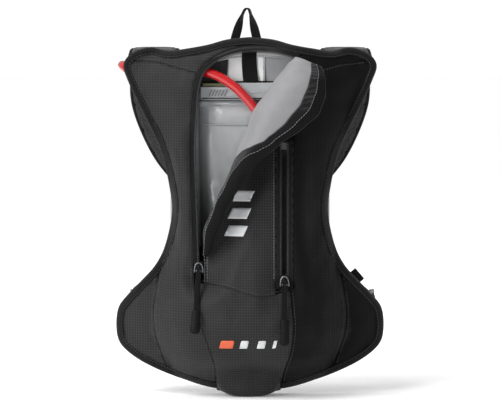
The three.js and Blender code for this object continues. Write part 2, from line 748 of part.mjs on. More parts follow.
const HOSE_ROUTE = [
  [50.5, -66, 114],
  [51.5, -60, 134],
  [53, -51.5, 160],
  [54, -44, 190],
  [54, -40.5, 220],
  [54, -39.5, 243],
  [48.8, -38, 263],
  [42.5, -36.4, 271.5],
  [34, -34.2, 278],
  [21, -31.8, 285.2],
  [9, -30.4, 294],
  [-3, -29.8, 308],
  [-16, -29.5, 321],
  [-32, -28.9, 331.5],
  [-44, -27.3, 336],
  [-55, -23.6, 337.3],
  [-64, -16.6, 336.3],
  [-72, -7, 333.3],
  [-79, 1.6, 330.3],
  [-89, 8.8, 328.3],
  [-103, 13.2, 328.5],
  [-119, 18.4, 333],
  [-131.5, 31, 339.3],
  [-137, 48, 343],
  [-134.8, 65, 341.3],
  [-127.5, 77, 334],
  [-118, 82, 321.5],
  [-107.5, 83.2, 306.5],
  [-97.5, 83.8, 291],
  [-88.5, 87, 275],
  [-80, 92, 260],
  [-72, 97.5, 246],
];
const KEEPERS_AFTER = [28, 30]; // points of the route that a keeper follows

function buildHose() {
  const route = HOSE_ROUTE.map(([x, y, h]) => new THREE.Vector3(x, y, atHeight(h)));
  add('drinking_hose', bar(route.map((point) => point.toArray()), HOSE, 44, 9), COLOUR.hose, 0.3);
  KEEPERS_AFTER.forEach((place, i) => {
    const along = route[place + 1].clone().sub(route[place - 1]).normalize();
    const at = (distance) => route[place].clone().addScaledVector(along, distance).toArray();
    const ring = cut(rod(at(-5), at(5), HOSE + 4.2, 14), rod(at(-9), at(9), HOSE + 2.6, 14));
    add(`hose_keeper_${i === 0 ? 'upper' : 'lower'}`, ring, COLOUR.webbing, 0.9);
  });

  const end = HOSE_ROUTE.at(-1);
  const start = new THREE.Vector3(end[0], end[1], atHeight(end[2]));
  const along = new THREE.Vector3(0.4, 0.34, -0.85).normalize();
  const at = (distance) => start.clone().addScaledVector(along, distance).toArray();
  add('bite_valve_body', union(rod(at(1.2), at(11), 12.5, 12), rod(at(10), at(20), 16, 12)), COLOUR.plastic, 0.4);
  add('bite_valve_lock', rod(at(20 + GAP), at(25), 17.5, 8), COLOUR.hose, 0.5);
  add('bite_valve_mouthpiece', union(
    rod(at(25 + GAP), at(32), 13, 12),
    rod(at(31), at(42), 17, 12, 12),
  ), COLOUR.silicone, 0.5);
}

// ---------------------------------------------------------------- harness

const BUCKLE = { y: 97, h: 150 };

function buildStrap(side, name) {
  const path = [
    [104, 5.6, 339],
    [104, 6.8, 349],
    [102, 14, 357],
    [101, 27, 358.6],
    [101.5, 42, 348],
    [102.5, 56, 328],
    [101, 67, 303],
    [82, 81, 256],
    [63, 88, 230],
    [53.5, 90.5, 217],
  ].map(([x, y, h]) => [side * x, y, atHeight(h)]);
  add(`shoulder_strap_${name}`, ribbon(path, STRAP_WIDTH, STRAP_THICK, [[1, 0, 0]], 22), COLOUR.mesh, 0.95);
}

// Right-handed frame at a point of the harness: across a webbing, along it and out of its face.
function place(centre, across, along, outward) {
  const x = new THREE.Vector3(...across).normalize();
  const y = new THREE.Vector3(...along);
  y.addScaledVector(x, -y.dot(x)).normalize();
  const z = new THREE.Vector3().crossVectors(x, y);
  if (z.dot(new THREE.Vector3(...outward)) < 0) {
    x.negate();
    z.negate();
  }
  return new THREE.Matrix4().makeBasis(x, y, z).setPosition(...centre);
}

// Bar with a slot, or a ladder lock with two, made flat around the origin.
function slottedPlate(width, low, high, slots) {
  const shape = new THREE.Shape([[-width / 2, low], [width / 2, low], [width / 2, high], [-width / 2, high]]
    .map((p) => new THREE.Vector2(...p)));
  for (const [from, to] of slots) {
    const hole = rectangle(-SLOT / 2, from, SLOT / 2, to).reverse();
    shape.holes.push(new THREE.Path(hole.map((p) => new THREE.Vector2(...p))));
  }
  const geometry = new THREE.ExtrudeGeometry(shape, { depth: 4, bevelEnabled: false });
  geometry.translate(0, 0, -2);
  return geometry;
}

const SLOT = 22; // length of the slots that the webbing runs through
const LOCK_HALF = 12; // half of a ladder lock's length along the webbing
const arms = { // across and along directions of the webbing at the buckle, for the right side
  upper: { across: [0.93, 0, -0.36], along: [0.36, 0, 0.93], centre: [27, 20] },
  lower: { across: [0.32, 0, 0.95], along: [0.95, 0, -0.32], centre: [37, -9] },
};

// Directions and places of the harness, mirrored for the left side.
const sided = (side, [x, y, z]) => [side * x, y, z];

function armPlace(side, arm) {
  const { across, along, centre } = arms[arm];
  const at = [side * centre[0], BUCKLE.y, atHeight(BUCKLE.h) + centre[1]];
  return place(at, sided(side, across), sided(side, along), [0, 1, 0]);
}

function buildBuckle() {
  const z = atHeight(BUCKLE.h);
  const { y } = BUCKLE;
  for (const side of [-1, 1]) {
    const plates = Object.keys(arms).map((arm) => slottedPlate(28, -8, 6, [[-2, 4]]).applyMatrix4(armPlace(side, arm)));
    const corner = block([16, 4, 24], [side * 25, y, z + 3]);
    if (side < 0) {
      const shell = cut(block([37, 11, 28], [-6, y, z]), block([30, 6.4, 21], [-1, y, z]),
        block([9, 14, 8], [-2, y, z + 12]), block([9, 14, 8], [-2, y, z - 12]));
      add('chest_buckle_female', union(shell, corner, ...plates), COLOUR.plastic, 0.4);
    } else {
      const prongs = [1, -1].map((up) => block([24, 4.6, 4], [5, y, z + up * 7.6]));
      const base = block([10, 11, 28], [18, y, z]);
      add('chest_buckle_male', union(base, block([22, 3, 6], [6, y, z]), ...prongs, corner, ...plates),
        COLOUR.plastic, 0.4);
    }
  }
}

// Webbing from a ladder lock to the buckle's arm: over the lock's middle bar, through both slots.
function webbingPath(lock, arm, between) {
  const inLock = (u, v) => new THREE.Vector3(0, u, v).applyMatrix4(lock).toArray();
  const inArm = (u, v) => new THREE.Vector3(0, u, v).applyMatrix4(arm).toArray();
  return [
    inLock(15, 6.8),
    inLock(10, 6.8),
    inLock(4, 5),
    inLock(-2.6, 3.7),
    inLock(-5.4, 0),
    inLock(-8.2, -3.8),
    inLock(-15, -3.4),
    ...between,
    inArm(12, -3.4),
    inArm(5, -3.6),
    inArm(1, -2.4),
    inArm(0.8, 0),
    inArm(1, 2.4),
    inArm(5, 3.6),
    inArm(14, 3.6),
  ];
}

// Sewn loop of webbing around a ladder lock's end bar.
function tab(lock, reach) {
  const inLock = (u, v) => new THREE.Vector3(0, u, v).applyMatrix4(lock).toArray();
  const across = new THREE.Vector3().setFromMatrixColumn(lock, 0).toArray();
  const path = [inLock(reach, -3), inLock(9, -3.6), inLock(5.4, -2.4), inLock(5, 0), inLock(5.4, 2.4), inLock(9, 3.6),
    inLock(reach, 3)];
  return ribbon(path, 18, WEBBING_THICK, [across], 16);
}

function buildHarness() {
  for (const [side, name] of [[-1, 'left'], [1, 'right']]) {
    buildStrap(side, name);
    const upperLock = place([side * 46, 94.5, atHeight(201)], sided(side, arms.upper.across),
      sided(side, [0.36, -0.12, 0.92]), [0, 1, 0]);
    add(`ladder_lock_upper_${name}`,
      slottedPlate(29, -LOCK_HALF, LOCK_HALF, [[-9, -1.8], [1.8, 9]]).applyMatrix4(upperLock), COLOUR.plastic, 0.4);
    add(`webbing_upper_${name}`, ribbon(webbingPath(upperLock, armPlace(side, 'upper'), []),
      18, WEBBING_THICK, [sided(side, arms.upper.across)], 34), COLOUR.webbing, 0.9);
    add(`strap_tab_${name}`, tab(upperLock, 15), COLOUR.webbing, 0.9);
    const out = side < 0 ? 0 : 5;
    const lowerLock = place([side * (124 + out), 28 + out * 0.6, atHeight(88)], [0, 0, side], sided(side, [-0.25, -0.97, 0]),
      [side, 0, 0]);
    add(`ladder_lock_lower_${name}`,
      slottedPlate(29, -LOCK_HALF, LOCK_HALF, [[-9, -1.8], [1.8, 9]]).applyMatrix4(lowerLock), COLOUR.plastic, 0.4);
    add(`hip_tab_${name}`, tab(lowerLock, 19), COLOUR.webbing, 0.9);
    const around = [[126, 56, 92], [112, 76, 102], [88, 92, 118], [62, 98, 132]]
      .map(([x, y, h]) => [side * x, y, atHeight(h)]);
    add(`webbing_lower_${name}`, ribbon(webbingPath(lowerLock, armPlace(side, 'lower'), around),
      18, WEBBING_THICK, [[0, 0, 1], sided(side, arms.lower.across)], 44), COLOUR.webbing, 0.9);
  }
}

buildBack();
buildGrabLoop();
buildFrontPanels();
buildPocket();
buildZips();
buildFlap();
buildBladder();
buildHose();
buildBuckle();
buildHarness();
add('hip_loop_right', block([14, 3.6, 11], [112.5, 5, atHeight(119)], [0, 0.86, 0]), COLOUR.webbing, 0.9);

export default pack;
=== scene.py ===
import math

import bmesh
import bpy
import numpy as np
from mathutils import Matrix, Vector
from mathutils.geometry import delaunay_2d_cdt


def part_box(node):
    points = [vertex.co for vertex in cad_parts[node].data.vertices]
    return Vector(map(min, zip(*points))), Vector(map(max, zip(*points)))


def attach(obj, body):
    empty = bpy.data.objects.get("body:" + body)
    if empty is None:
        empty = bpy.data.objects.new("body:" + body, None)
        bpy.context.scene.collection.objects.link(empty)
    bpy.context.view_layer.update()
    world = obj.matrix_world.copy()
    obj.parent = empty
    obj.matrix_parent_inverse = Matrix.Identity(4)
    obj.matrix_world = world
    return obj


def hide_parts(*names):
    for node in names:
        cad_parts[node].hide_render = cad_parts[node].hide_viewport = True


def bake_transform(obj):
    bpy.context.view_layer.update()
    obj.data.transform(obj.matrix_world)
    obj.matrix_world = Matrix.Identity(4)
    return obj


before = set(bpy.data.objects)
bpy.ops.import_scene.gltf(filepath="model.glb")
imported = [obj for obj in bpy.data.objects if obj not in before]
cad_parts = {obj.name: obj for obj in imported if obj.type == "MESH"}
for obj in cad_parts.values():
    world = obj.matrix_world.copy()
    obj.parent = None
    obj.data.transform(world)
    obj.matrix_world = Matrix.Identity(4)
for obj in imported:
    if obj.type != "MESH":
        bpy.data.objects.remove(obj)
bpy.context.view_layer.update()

ORIGIN_HEIGHT = 95  # of the frame's origin above the pack's lowest point
TAU = 2 * math.pi


def add_object(name, data):
    obj = bpy.data.objects.new(name, data)
    bpy.context.scene.collection.objects.link(obj)
    return obj


# ---- camera
def metres(points):
    return (np.asarray(points, float).reshape(-1, 3) - [0, 0, ORIGIN_HEIGHT]) / 1000


def aim(thing, at, target):
    thing.location = at
    thing.rotation_euler = (Vector(target) - Vector(at)).to_track_quat("-Z", "Y").to_euler()


SENSOR_WIDTH = 36
VIEW_WIDTH = 0.525
CAMERA_DISTANCE = 3.2
CAMERA_RISE = math.radians(3)
target = Vector((0.0, -0.035, 0.1075))
camera = add_object("camera", bpy.data.cameras.new("camera"))
camera.data.lens = SENSOR_WIDTH * CAMERA_DISTANCE / VIEW_WIDTH
camera.data.clip_end = 50
aim(camera, target + CAMERA_DISTANCE * Vector((0, -math.cos(CAMERA_RISE), math.sin(CAMERA_RISE))), target)
bpy.context.scene.camera = camera


# ---- lines and surfaces
def smooth(value, low, high):
    part = np.clip((np.asarray(value, float) - low) / (high - low), 0, 1)
    return part * part * (3 - 2 * part)


def profile(pairs):
    at, value = np.array(pairs, float).T

    def read(h):
        h = np.asarray(h, float)
        i = np.clip(np.searchsorted(at, h) - 1, 0, len(at) - 2)
        part = np.clip((h - at[i]) / (at[i + 1] - at[i]), 0, 1)
        return value[i] + (value[i + 1] - value[i]) * (part * part * (3 - 2 * part) * 0.35 + part * 0.65)

    return read


def normalised(vectors):
    return vectors / np.linalg.norm(vectors, axis=-1, keepdims=True)


def directions(p):
    return normalised(np.vstack([p[1] - p[0], p[2:] - p[:-2], p[-1] - p[-2]]))


def distance_along(points):
    return np.concatenate([[0], np.cumsum(np.linalg.norm(np.diff(points, axis=0), axis=1))])


def cubic(p1, p2, v0, v1, w):
    return (2 * p1 - 2 * p2 + v0 + v1) * w**3 + (3 * p2 - 3 * p1 - 2 * v0 - v1) * w**2 + v0 * w + p1


def spline(points, count):
    """Uniform Catmull-Rom line through the points, in any number of dimensions."""
    p = np.asarray(points, float)
    last = len(p) - 1
    t = np.linspace(0, last, count + 1)
    i = np.minimum(t.astype(int), last - 1)
    w = (t - i)[:, None]
    p0, p1, p2, p3 = (p[np.clip(i + k, 0, last)] for k in (-1, 0, 1, 2))
    return cubic(p1, p2, (p2 - p0) / 2, (p3 - p1) / 2, w)


def resample(points, step=None, count=None):
    p = np.asarray(points, float)
    reach = distance_along(p)
    count = count or max(2, int(round(reach[-1] / step)) + 1)
    at = np.linspace(0, reach[-1], count)
    return np.stack([np.interp(at, reach, p[:, k]) for k in range(p.shape[1])], axis=1)


def curve(points, count):
    """Even points along a centripetal spline, the same line as the solids are swept along."""
    p = np.asarray(points, float)
    p = np.vstack([2 * p[0] - p[1], p, 2 * p[-1] - p[-2]])
    w = np.linspace(0, 1, 25)[:-1, None]
    parts = []
    for p0, p1, p2, p3 in zip(p, p[1:], p[2:], p[3:]):
        d0, d1, d2 = (max(np.linalg.norm(b - a), 1e-4) ** 0.5 for a, b in ((p0, p1), (p1, p2), (p2, p3)))
        v0 = ((p1 - p0) / d0 - (p2 - p0) / (d0 + d1) + (p2 - p1) / d1) * d1
        v1 = ((p2 - p1) / d1 - (p3 - p1) / (d1 + d2) + (p3 - p2) / d2) * d1
        parts.append(cubic(p1, p2, v0, v1, w))
    return resample(np.vstack([*parts, p[-2:-1]]), count=count)


def mirrored(line):
    return np.asarray(line, float) * [-1, 1]


def ring_of(points, step):
    """Even points round a closed line, given with or without its first point repeated."""
    points = np.asarray(points, float)
    if np.any(points[0] != points[-1]):
        points = np.vstack([points, points[:1]])
    return resample(points, step=step)[:-1]


def shifted(line, distance, closed=False):
    """The line moved sideways; positive goes to the left of its direction."""
    p = np.asarray(line, float)
    along = normalised(np.roll(p, -1, 0) - np.roll(p, 1, 0)) if closed else directions(p)
    return p + np.stack([-along[:, 1], along[:, 0]], axis=1) * distance


HALF_OUTLINE = [
    (0, 0), (37, 2), (73.5, 12.6), (105, 25), (126, 36.5), (139, 49), (142.4, 66), (140, 85), (131, 98),
    (115.5, 114.5), (100, 132), (89.5, 153), (82.5, 185), (84, 211), (94.5, 255), (118.6, 305), (129, 328),
    (133.8, 343), (128, 353.5), (116, 360), (103, 362), (86, 358.5), (66, 361), (44, 365), (24, 370.5), (0, 373),
]
right_edge = resample(spline(HALF_OUTLINE, 200), count=190)
outline = np.vstack([right_edge, mirrored(right_edge)[::-1][1:-1]])

FOLD_TOP = np.array([52.5, -31, 356.0])
FOLD_END = np.array([-46.5, -59, 140.0])
TRACK_LOW = np.array([-58.5, -59, 133.0])
TRACK_HIGH = np.array([-63, -40, 255.0])
SLIT_LOW = np.array([35.8, -74, 120.0])
SLIT_HIGH = np.array([35.8, -51, 264.0])

compartment_depth = profile([(0, 3), (14, 22), (40, 50), (75, 66), (110, 66), (150, 57), (200, 47), (260, 39),
                             (320, 31), (350, 20), (364, 9), (375, 3)])
compartment_half = profile([(0, 52), (20, 82), (64, 108), (100, 104), (132, 92), (185, 81), (230, 85), (300, 106),
                            (335, 118), (352, 108), (375, 60)])


def rear_face(x, h):
    aside = np.maximum(0, np.abs(x) - 70)
    return -7 + 24 * (aside / 72) ** 2 * (1 - smooth(h, 105, 185)) + 8 * (aside / 63) ** 2 * smooth(h, 240, 335)


BOARD_THICKNESS = 4


def board_face(x, h):
    return rear_face(x, h) - BOARD_THICKNESS


def settle(y, x, h, start, end, reach):
    along = (end - start)[[0, 2]]
    off_x, off_h = x - start[0], h - start[2]
    part = np.clip((off_x * along[0] + off_h * along[1]) / (along @ along), -0.06, 1.06)
    gap = np.hypot(off_x - part * along[0], off_h - part * along[1])
    line = start[1] + (end[1] - start[1]) * part
    return line + (y - line) * smooth(gap, 4, reach)


def outer_face(x, h):
    x, h = np.asarray(x, float), np.asarray(h, float)
    across = np.minimum(1, np.abs(x) / compartment_half(h))
    bulge = (compartment_depth(h) - 2) * (1 - across**2.6) ** 0.85
    wing = 8 * (1 - np.minimum(1, np.abs(x) / 142) ** 4) * (1 - smooth(h, 120, 170))
    y = board_face(x, h) - 5 - bulge - wing * smooth(h, 0, 40)
    y = settle(y, x, h, SLIT_LOW, SLIT_HIGH, 34)
    y = settle(y, x, h, FOLD_TOP, FOLD_END, 34)
    return settle(y, x, h, TRACK_LOW, TRACK_HIGH, 24)


track = spline([(-58.5, 133), (-60.7, 194), (-63, 255), (-61.5, 285), (-59.6, 312), (-54.5, 335), (-43, 348.5),
                (-27, 357.5), (-8, 362.5), (14, 363.5), (34, 360.5), (52, 355.5)], 90)
lobe_seam = spline([(-36, -20), (-35.7, 10.5), (-36.4, 31), (-43, 52), (-53, 84), (-57.5, 112), (-58.5, 133)], 40)
wing_seam = spline([(-76, -20), (-80, 5), (-91, 34), (-99, 60), (-101.5, 85), (-98, 112), (-99, 128), (-130, 142)], 60)
yoke_seam = resample([(-200, 353), (-128, 350), (-110, 347.6), (-94, 346), (-77.7, 341), (-54.5, 335)], step=4)
arch_seam = spline([(-57.5, 116), (-48, 116.6), (-23, 113.8), (-1, 107), (14, 104), (27, 106), (41, 112)], 36)
right_lobe_seam = spline([(32, -20), (33, 9.5), (36.2, 27), (42, 46), (44.5, 70), (43, 95), (41, 112)], 40)
upper_seam = resample([(35.8, 269), (35.8, 324)], step=4)

ZIP_HALF_WIDTH = 8.65  # from the middle of the pocket zip to a panel's edge
POCKET_LEFT = SLIT_LOW[0] - ZIP_HALF_WIDTH
POCKET_RIGHT = SLIT_LOW[0] + ZIP_HALF_WIDTH
POCKET_TOP = 269
POCKET_FOOT = 113
pocket_mouth = np.array([(POCKET_LEFT, POCKET_FOOT), (POCKET_RIGHT, POCKET_FOOT), (POCKET_RIGHT, POCKET_TOP),
                         (POCKET_LEFT, POCKET_TOP)])


def near(line, x, h):
    """Distance to the nearest point of a line, and how far along the line it is."""
    line = np.asarray(line, float)
    a, d = line[:-1], np.diff(line, axis=0)
    length = np.hypot(d[:, 0], d[:, 1])
    x, h = np.asarray(x, float).ravel(), np.asarray(h, float).ravel()
    off_x, off_h = x[:, None] - a[:, 0], h[:, None] - a[:, 1]
    part = np.clip((off_x * d[:, 0] + off_h * d[:, 1]) / length**2, 0, 1)
    gap = np.hypot(off_x - part * d[:, 0], off_h - part * d[:, 1])
    best = gap.argmin(axis=1)
    rows = np.arange(len(x))
    start = np.concatenate([[0], np.cumsum(length)])
    return gap[rows, best], start[best] + part[rows, best] * length[best]


def inside(polygon, x, h):
    p = np.asarray(polygon, float)
    q = np.roll(p, -1, 0)
    x, h = np.asarray(x, float).ravel()[:, None], np.asarray(h, float).ravel()[:, None]
    spans = (p[:, 1] > h) != (q[:, 1] > h)
    with np.errstate(divide="ignore", invalid="ignore"):
        cross = (q[:, 0] - p[:, 0]) * (h - p[:, 1]) / (q[:, 1] - p[:, 1]) + p[:, 0]
    return ((spans & (x < cross)).sum(axis=1) % 2).astype(bool)


def waves(x, h, seed, size, count=7):
    """Soft creases between -1 and 1, about size millimetres apart."""
    x, h = np.asarray(x, float), np.asarray(h, float)
    random = np.random.default_rng(seed)
    total = np.zeros(np.broadcast(x, h).shape)
    for _ in range(count):
        angle, phase, pitch = random.uniform(0, TAU), random.uniform(0, TAU), size * random.uniform(0.7, 1.6)
        bend = random.uniform(0.6, 1.6) * np.sin((x * math.sin(angle) - h * math.cos(angle)) * TAU / pitch / 2.7)
        total += np.sin((x * math.cos(angle) + h * math.sin(angle)) * TAU / pitch + phase + bend)
    return total / count * 1.6


seams = [lobe_seam, wing_seam, mirrored(wing_seam), yoke_seam, mirrored(yoke_seam), arch_seam, right_lobe_seam,
         upper_seam, track, resample([*pocket_mouth, pocket_mouth[0]], step=4)]


def skin(x, h):
    """Outer face of the sewn fabric: full between the seams, drawn in along them, with puckers and creases."""
    shape = np.broadcast(x, h).shape
    x, h = (np.asarray(v, float) * np.ones(shape) for v in (x, h))
    y = outer_face(x, h).ravel()
    away = np.full(x.size, 1e9)
    pucker = np.zeros(x.size)
    for i, line in enumerate(seams):
        gap, along = near(line, x, h)
        pucker += np.exp(-gap / 6) * np.sin(along * TAU / (10 + 1.5 * (i % 3)) + np.sin(along / 17 + i) * 1.4)
        away = np.minimum(away, gap)
    edge, _ = near(np.vstack([outline, outline[:1]]), x, h)
    away = np.minimum(away, edge + 3)
    full = 1 - np.exp(-away / 9)
    x, h = x.ravel(), h.ravel()
    creases = 1.35 * waves(x, h, 4, 34) + 0.65 * waves(x, h * 0.6, 9, 15) + 0.5 * waves(x + 0.15 * h, h * 0.3, 15, 12)
    slack = 0.5 + smooth(np.abs(x), 40, 95) * 0.7 * (1 - smooth(h, 120, 240)) + 0.5 * smooth(h, 270, 340)
    flat = smooth(near(pocket_mouth[[0, 3]], x, h)[0], 2, 14)
    y = y + 1.1 - 1.9 * full - creases * slack * full * (0.35 + 0.65 * flat) - 0.4 * pucker
    return y.reshape(shape)


# ---- materials
def srgb(*colour):
    return tuple((c / 255 / 12.92 if c <= 10 else ((c / 255 + 0.055) / 1.055) ** 2.4) for c in colour) + (1.0,)


def grey(tone):
    return srgb(tone, tone, tone)


class Material:
    """A node material: methods add nodes and give back their result."""

    def __init__(self, name, **sockets):
        self.made = bpy.data.materials.new(name)
        self.made.use_nodes = True
        self.tree = self.made.node_tree
        self.shader = self.tree.nodes["Principled BSDF"]
        for socket, value in sockets.items():
            self.shader.inputs[socket.replace("_", " ")].default_value = value

    def add(self, kind, *inputs, out=0, **settings):
        node = self.tree.nodes.new("ShaderNode" + kind)
        for name, value in settings.items():
            setattr(node, name, value)
        for i, value in enumerate(inputs):
            if isinstance(value, bpy.types.NodeSocket):
                self.tree.links.new(value, node.inputs[i])
            elif value is not None:
                node.inputs[i].default_value = value
        return node.outputs[out]

    def maths(self, operation, a, b=0.0, clamp=False):
        return self.add("Math", a, b, operation=operation, use_clamp=clamp)

    def scaled(self, value, factor, plus=None, clamp=False):
        made = self.maths("MULTIPLY", value, factor)
        return made if plus is None else self.maths("ADD", made, plus, clamp)

    def place(self, attribute=None):
        """Millimetre coordinates, split into three: on the object, or along a strap."""
        if attribute:
            node = self.tree.nodes.new("ShaderNodeAttribute")
            node.attribute_name = attribute
            vector = node.outputs["Vector"]
        else:
            vector = self.add("VectorMath", self.add("TexCoord", out=3), (1000, 1000, 1000), operation="MULTIPLY")
        node = self.tree.nodes.new("ShaderNodeSeparateXYZ")
        self.tree.links.new(vector, node.inputs[0])
        return vector, node.outputs

    def lines(self, value, pitch, width):
        """1 on lines that far apart, 0 between them."""
        near_line = self.maths("PINGPONG", value, pitch / 2)
        return self.add("MapRange", near_line, 0.0, width, 1.0, 0.0)

    def wave(self, value, pitch):
        return self.maths("SINE", self.maths("MULTIPLY", value, TAU / pitch))

    def noise(self, vector, scale, detail=2.0):
        return self.add("TexNoise", vector, None, scale, detail)

    def mix(self, factor, a, b):
        return self.add("Mix", factor, None, None, None, None, None, a, b, out=2, data_type="RGBA")

    def link(self, socket, value):
        self.tree.links.new(value, self.shader.inputs[socket])

    def bump(self, height, distance, strength=1.0):
        node = self.tree.nodes.new("ShaderNodeBump")
        node.inputs["Strength"].default_value = strength
        node.inputs["Distance"].default_value = distance
        self.tree.links.new(height, node.inputs["Height"])
        self.link("Normal", node.outputs[0])


def ripstop(name, dark, light, pitch=2.8, roughness=0.62, gloss=0.17, sheen=0.05):
    m = Material(name, Roughness=roughness, Sheen_Weight=sheen, Sheen_Roughness=0.4, Specular_IOR_Level=gloss)
    vector, (x, y, z) = m.place()
    grid = m.maths("MAXIMUM", m.lines(x, pitch, 0.45), m.lines(z, pitch, 0.45))
    weave = m.maths("MULTIPLY", m.wave(x, 0.55), m.wave(z, 0.55))
    cloud = m.noise(vector, 0.03, 4.0)
    tone = m.scaled(grid, 0.8, m.scaled(cloud, 0.6), clamp=True)
    m.link("Base Color", m.mix(tone, dark, light))
    m.link("Roughness", m.scaled(cloud, 0.24, roughness - 0.14))
    height = m.scaled(grid, 0.8, m.scaled(weave, 0.08))
    m.bump(height, 0.00022)
    return m.made


def coated(name, dark, light, roughness=0.5, sheen=0.15, coat=0.0):
    m = Material(name, Sheen_Weight=sheen, Specular_IOR_Level=0.4, Coat_Weight=coat, Coat_Roughness=0.35)
    vector, (x, y, z) = m.place()
    weave = m.maths("MULTIPLY", m.wave(x, 0.7), m.wave(z, 0.7))
    cloud = m.noise(vector, 0.05, 4.0)
    crease = m.noise(vector, 0.16, 3.0)
    m.link("Base Color", m.mix(cloud, dark, light))
    m.link("Roughness", m.scaled(crease, 0.3, roughness - 0.15))
    height = m.scaled(weave, 0.12, crease)
    m.bump(height, 0.0006, 0.6)
    return m.made


def spacer_mesh(name, dark, light):
    m = Material(name, Roughness=0.85, Sheen_Weight=0.3, Specular_IOR_Level=0.25)
    vector, _ = m.place()
    cells = m.add("TexVoronoi", vector, None, 0.42, feature="F1")
    holes = m.add("MapRange", cells, 0.12, 0.42, 0.0, 1.0)
    cloud = m.noise(vector, 0.06, 3.0)
    tone = m.maths("MULTIPLY", holes, m.scaled(cloud, 0.8, 0.35), clamp=True)
    m.link("Base Color", m.mix(tone, dark, light))
    m.bump(holes, 0.0007)
    return m.made


def woven(name, dark, light, rib=0.9, roughness=0.8, sheen=0.2):
    """Tape and webbing: ribs across and a herringbone, from the strap's own lay."""
    m = Material(name, Roughness=roughness, Sheen_Weight=sheen, Sheen_Roughness=0.4, Specular_IOR_Level=0.18)
    vector, (across, along, _) = m.place("lay")
    zigzag = m.maths("ADD", along, m.maths("PINGPONG", across, 2.2))
    ribs = m.wave(zigzag, rib)
    strands = m.wave(across, 1.1)
    height = m.scaled(ribs, 0.5, m.scaled(strands, 0.3))
    cloud = m.noise(vector, 0.11, 3.0)
    tone = m.scaled(m.maths("ADD", height, 1.0), 0.22, m.scaled(cloud, 0.5), clamp=True)
    m.link("Base Color", m.mix(tone, dark, light))
    m.bump(height, 0.00025)
    return m.made


def moulded(name, dark, light, roughness=0.4, grain=1.1, metal=0.0, **sockets):
    m = Material(name, Metallic=metal, **sockets)
    vector, _ = m.place()
    fine, wide = m.noise(vector, grain, 3.0), m.noise(vector, 0.07, 3.0)
    m.link("Base Color", m.mix(wide, dark, light))
    m.link("Roughness", m.scaled(wide, 0.22, roughness - 0.1))
    m.bump(fine, 0.00008)
    return m.made


MATERIALS = {
    "ripstop": ripstop("ripstop", grey(18), grey(52)),
    # darker copy of the same ripstop, for the parts turned away from the key light: painted shade
    "ripstop_shade": ripstop("ripstop_shade", grey(4), grey(17), gloss=0.1, sheen=0.02),
    "flap_lining": coated("flap_lining", srgb(114, 114, 116), srgb(132, 132, 134), 0.5, 0.2),
    "lining_fabric": coated("lining_fabric", srgb(146, 147, 149), srgb(172, 173, 175), 0.55),
    # lighter copy of the lining, for the mouth's hem: painted light
    "hem": coated("hem", srgb(190, 191, 192), srgb(214, 215, 216), 0.55),
    # darker copy of the lining, for cloth seen deep inside: painted shade
    "lining_painted_shade": coated("lining_painted_shade", srgb(24, 24, 26), srgb(44, 44, 46), 0.6),
    "back_mesh": spacer_mesh("back_mesh", srgb(8, 8, 9), srgb(58, 58, 60)),
    "binding_tape": woven("binding_tape", grey(6), srgb(26, 26, 27), 1.2, sheen=0.06),
    "webbing": woven("webbing", srgb(6, 6, 7), srgb(28, 28, 29), 1.0, sheen=0.1),
    "zip_tape": woven("zip_tape", srgb(6, 6, 7), srgb(22, 22, 24), 0.8),
    "black_acetal": moulded("black_acetal", srgb(16, 16, 17), srgb(30, 30, 32), 0.38),
    "teeth": moulded("teeth", srgb(14, 14, 15), srgb(34, 34, 36), 0.35),
    "soft_grip": moulded("soft_grip", grey(2), grey(9), 0.6, 2.0, Specular_IOR_Level=0.16),
    "zinc": moulded("zinc", srgb(24, 24, 26), srgb(52, 52, 55), 0.34, 0.8, 0.9),
    "nickel": moulded("nickel", srgb(96, 97, 99), srgb(142, 143, 145), 0.26, 0.8, 0.95),
    "clip_plastic": moulded("clip_plastic", srgb(150, 153, 156), srgb(184, 187, 189), 0.3, 0.6, Coat_Weight=0.4),
    "olive_plastic": moulded("olive_plastic", srgb(96, 96, 60), srgb(124, 122, 84), 0.42),
    "red_tpu": moulded("red_tpu", srgb(176, 22, 28), srgb(205, 40, 44), 0.34, Coat_Weight=0.5),
    "label_satin": coated("label_satin", srgb(238, 239, 240), grey(250), 0.4, 0.4),
    "label_shadow": moulded("label_shadow", srgb(92, 94, 96), srgb(112, 114, 116), 0.5),
    "thread": moulded("thread", srgb(46, 46, 48), srgb(70, 70, 72), 0.7),
    "thread_light": moulded("thread_light", srgb(104, 105, 108), srgb(140, 141, 144), 0.7),
    "print_white": moulded("print_white", srgb(196, 198, 200), srgb(222, 224, 226), 0.55),
    "print_orange": moulded("print_orange", srgb(206, 84, 48), srgb(226, 104, 66), 0.55),
    "cord_weave": woven("cord_weave", grey(2), grey(11), 1.4, sheen=0.03),
}


def hose_material():
    m = Material("hose_tpu", IOR=1.46, Transmission_Weight=0.12, Coat_Weight=1.0,
                 Coat_Roughness=0.05, Subsurface_Weight=0.12, Subsurface_Radius=(0.006, 0.001, 0.001))
    vector, _ = m.place()
    cloud = m.noise(vector, 0.05, 3.0)
    m.link("Base Color", m.mix(cloud, srgb(188, 8, 16), srgb(220, 22, 30)))
    m.link("Roughness", m.scaled(cloud, 0.08, 0.06))
    m.bump(m.noise(vector, 0.2, 2.0), 0.0001)
    return m.made


def film_material():
    m = Material("bladder_film", IOR=1.42, Transmission_Weight=0.28, Coat_Weight=0.45, Coat_Roughness=0.2)
    vector, (x, y, z) = m.place()
    cloud = m.noise(vector, 0.045, 4.0)
    # darker towards the bottom of the film, by height: painted shade
    fill = m.add("MapRange", m.maths("ADD", z, m.scaled(cloud, 30.0)), 75.0, 215.0, 0.0, 1.0)
    m.link("Base Color", m.mix(fill, srgb(78, 80, 82), srgb(196, 199, 201)))
    m.link("Roughness", m.scaled(cloud, 0.2, 0.22))
    m.bump(m.noise(vector, 0.12, 3.0), 0.0008, 0.7)
    return m.made


MATERIALS["hose_tpu"] = hose_material()
MATERIALS["clear_tpu"] = film_material()


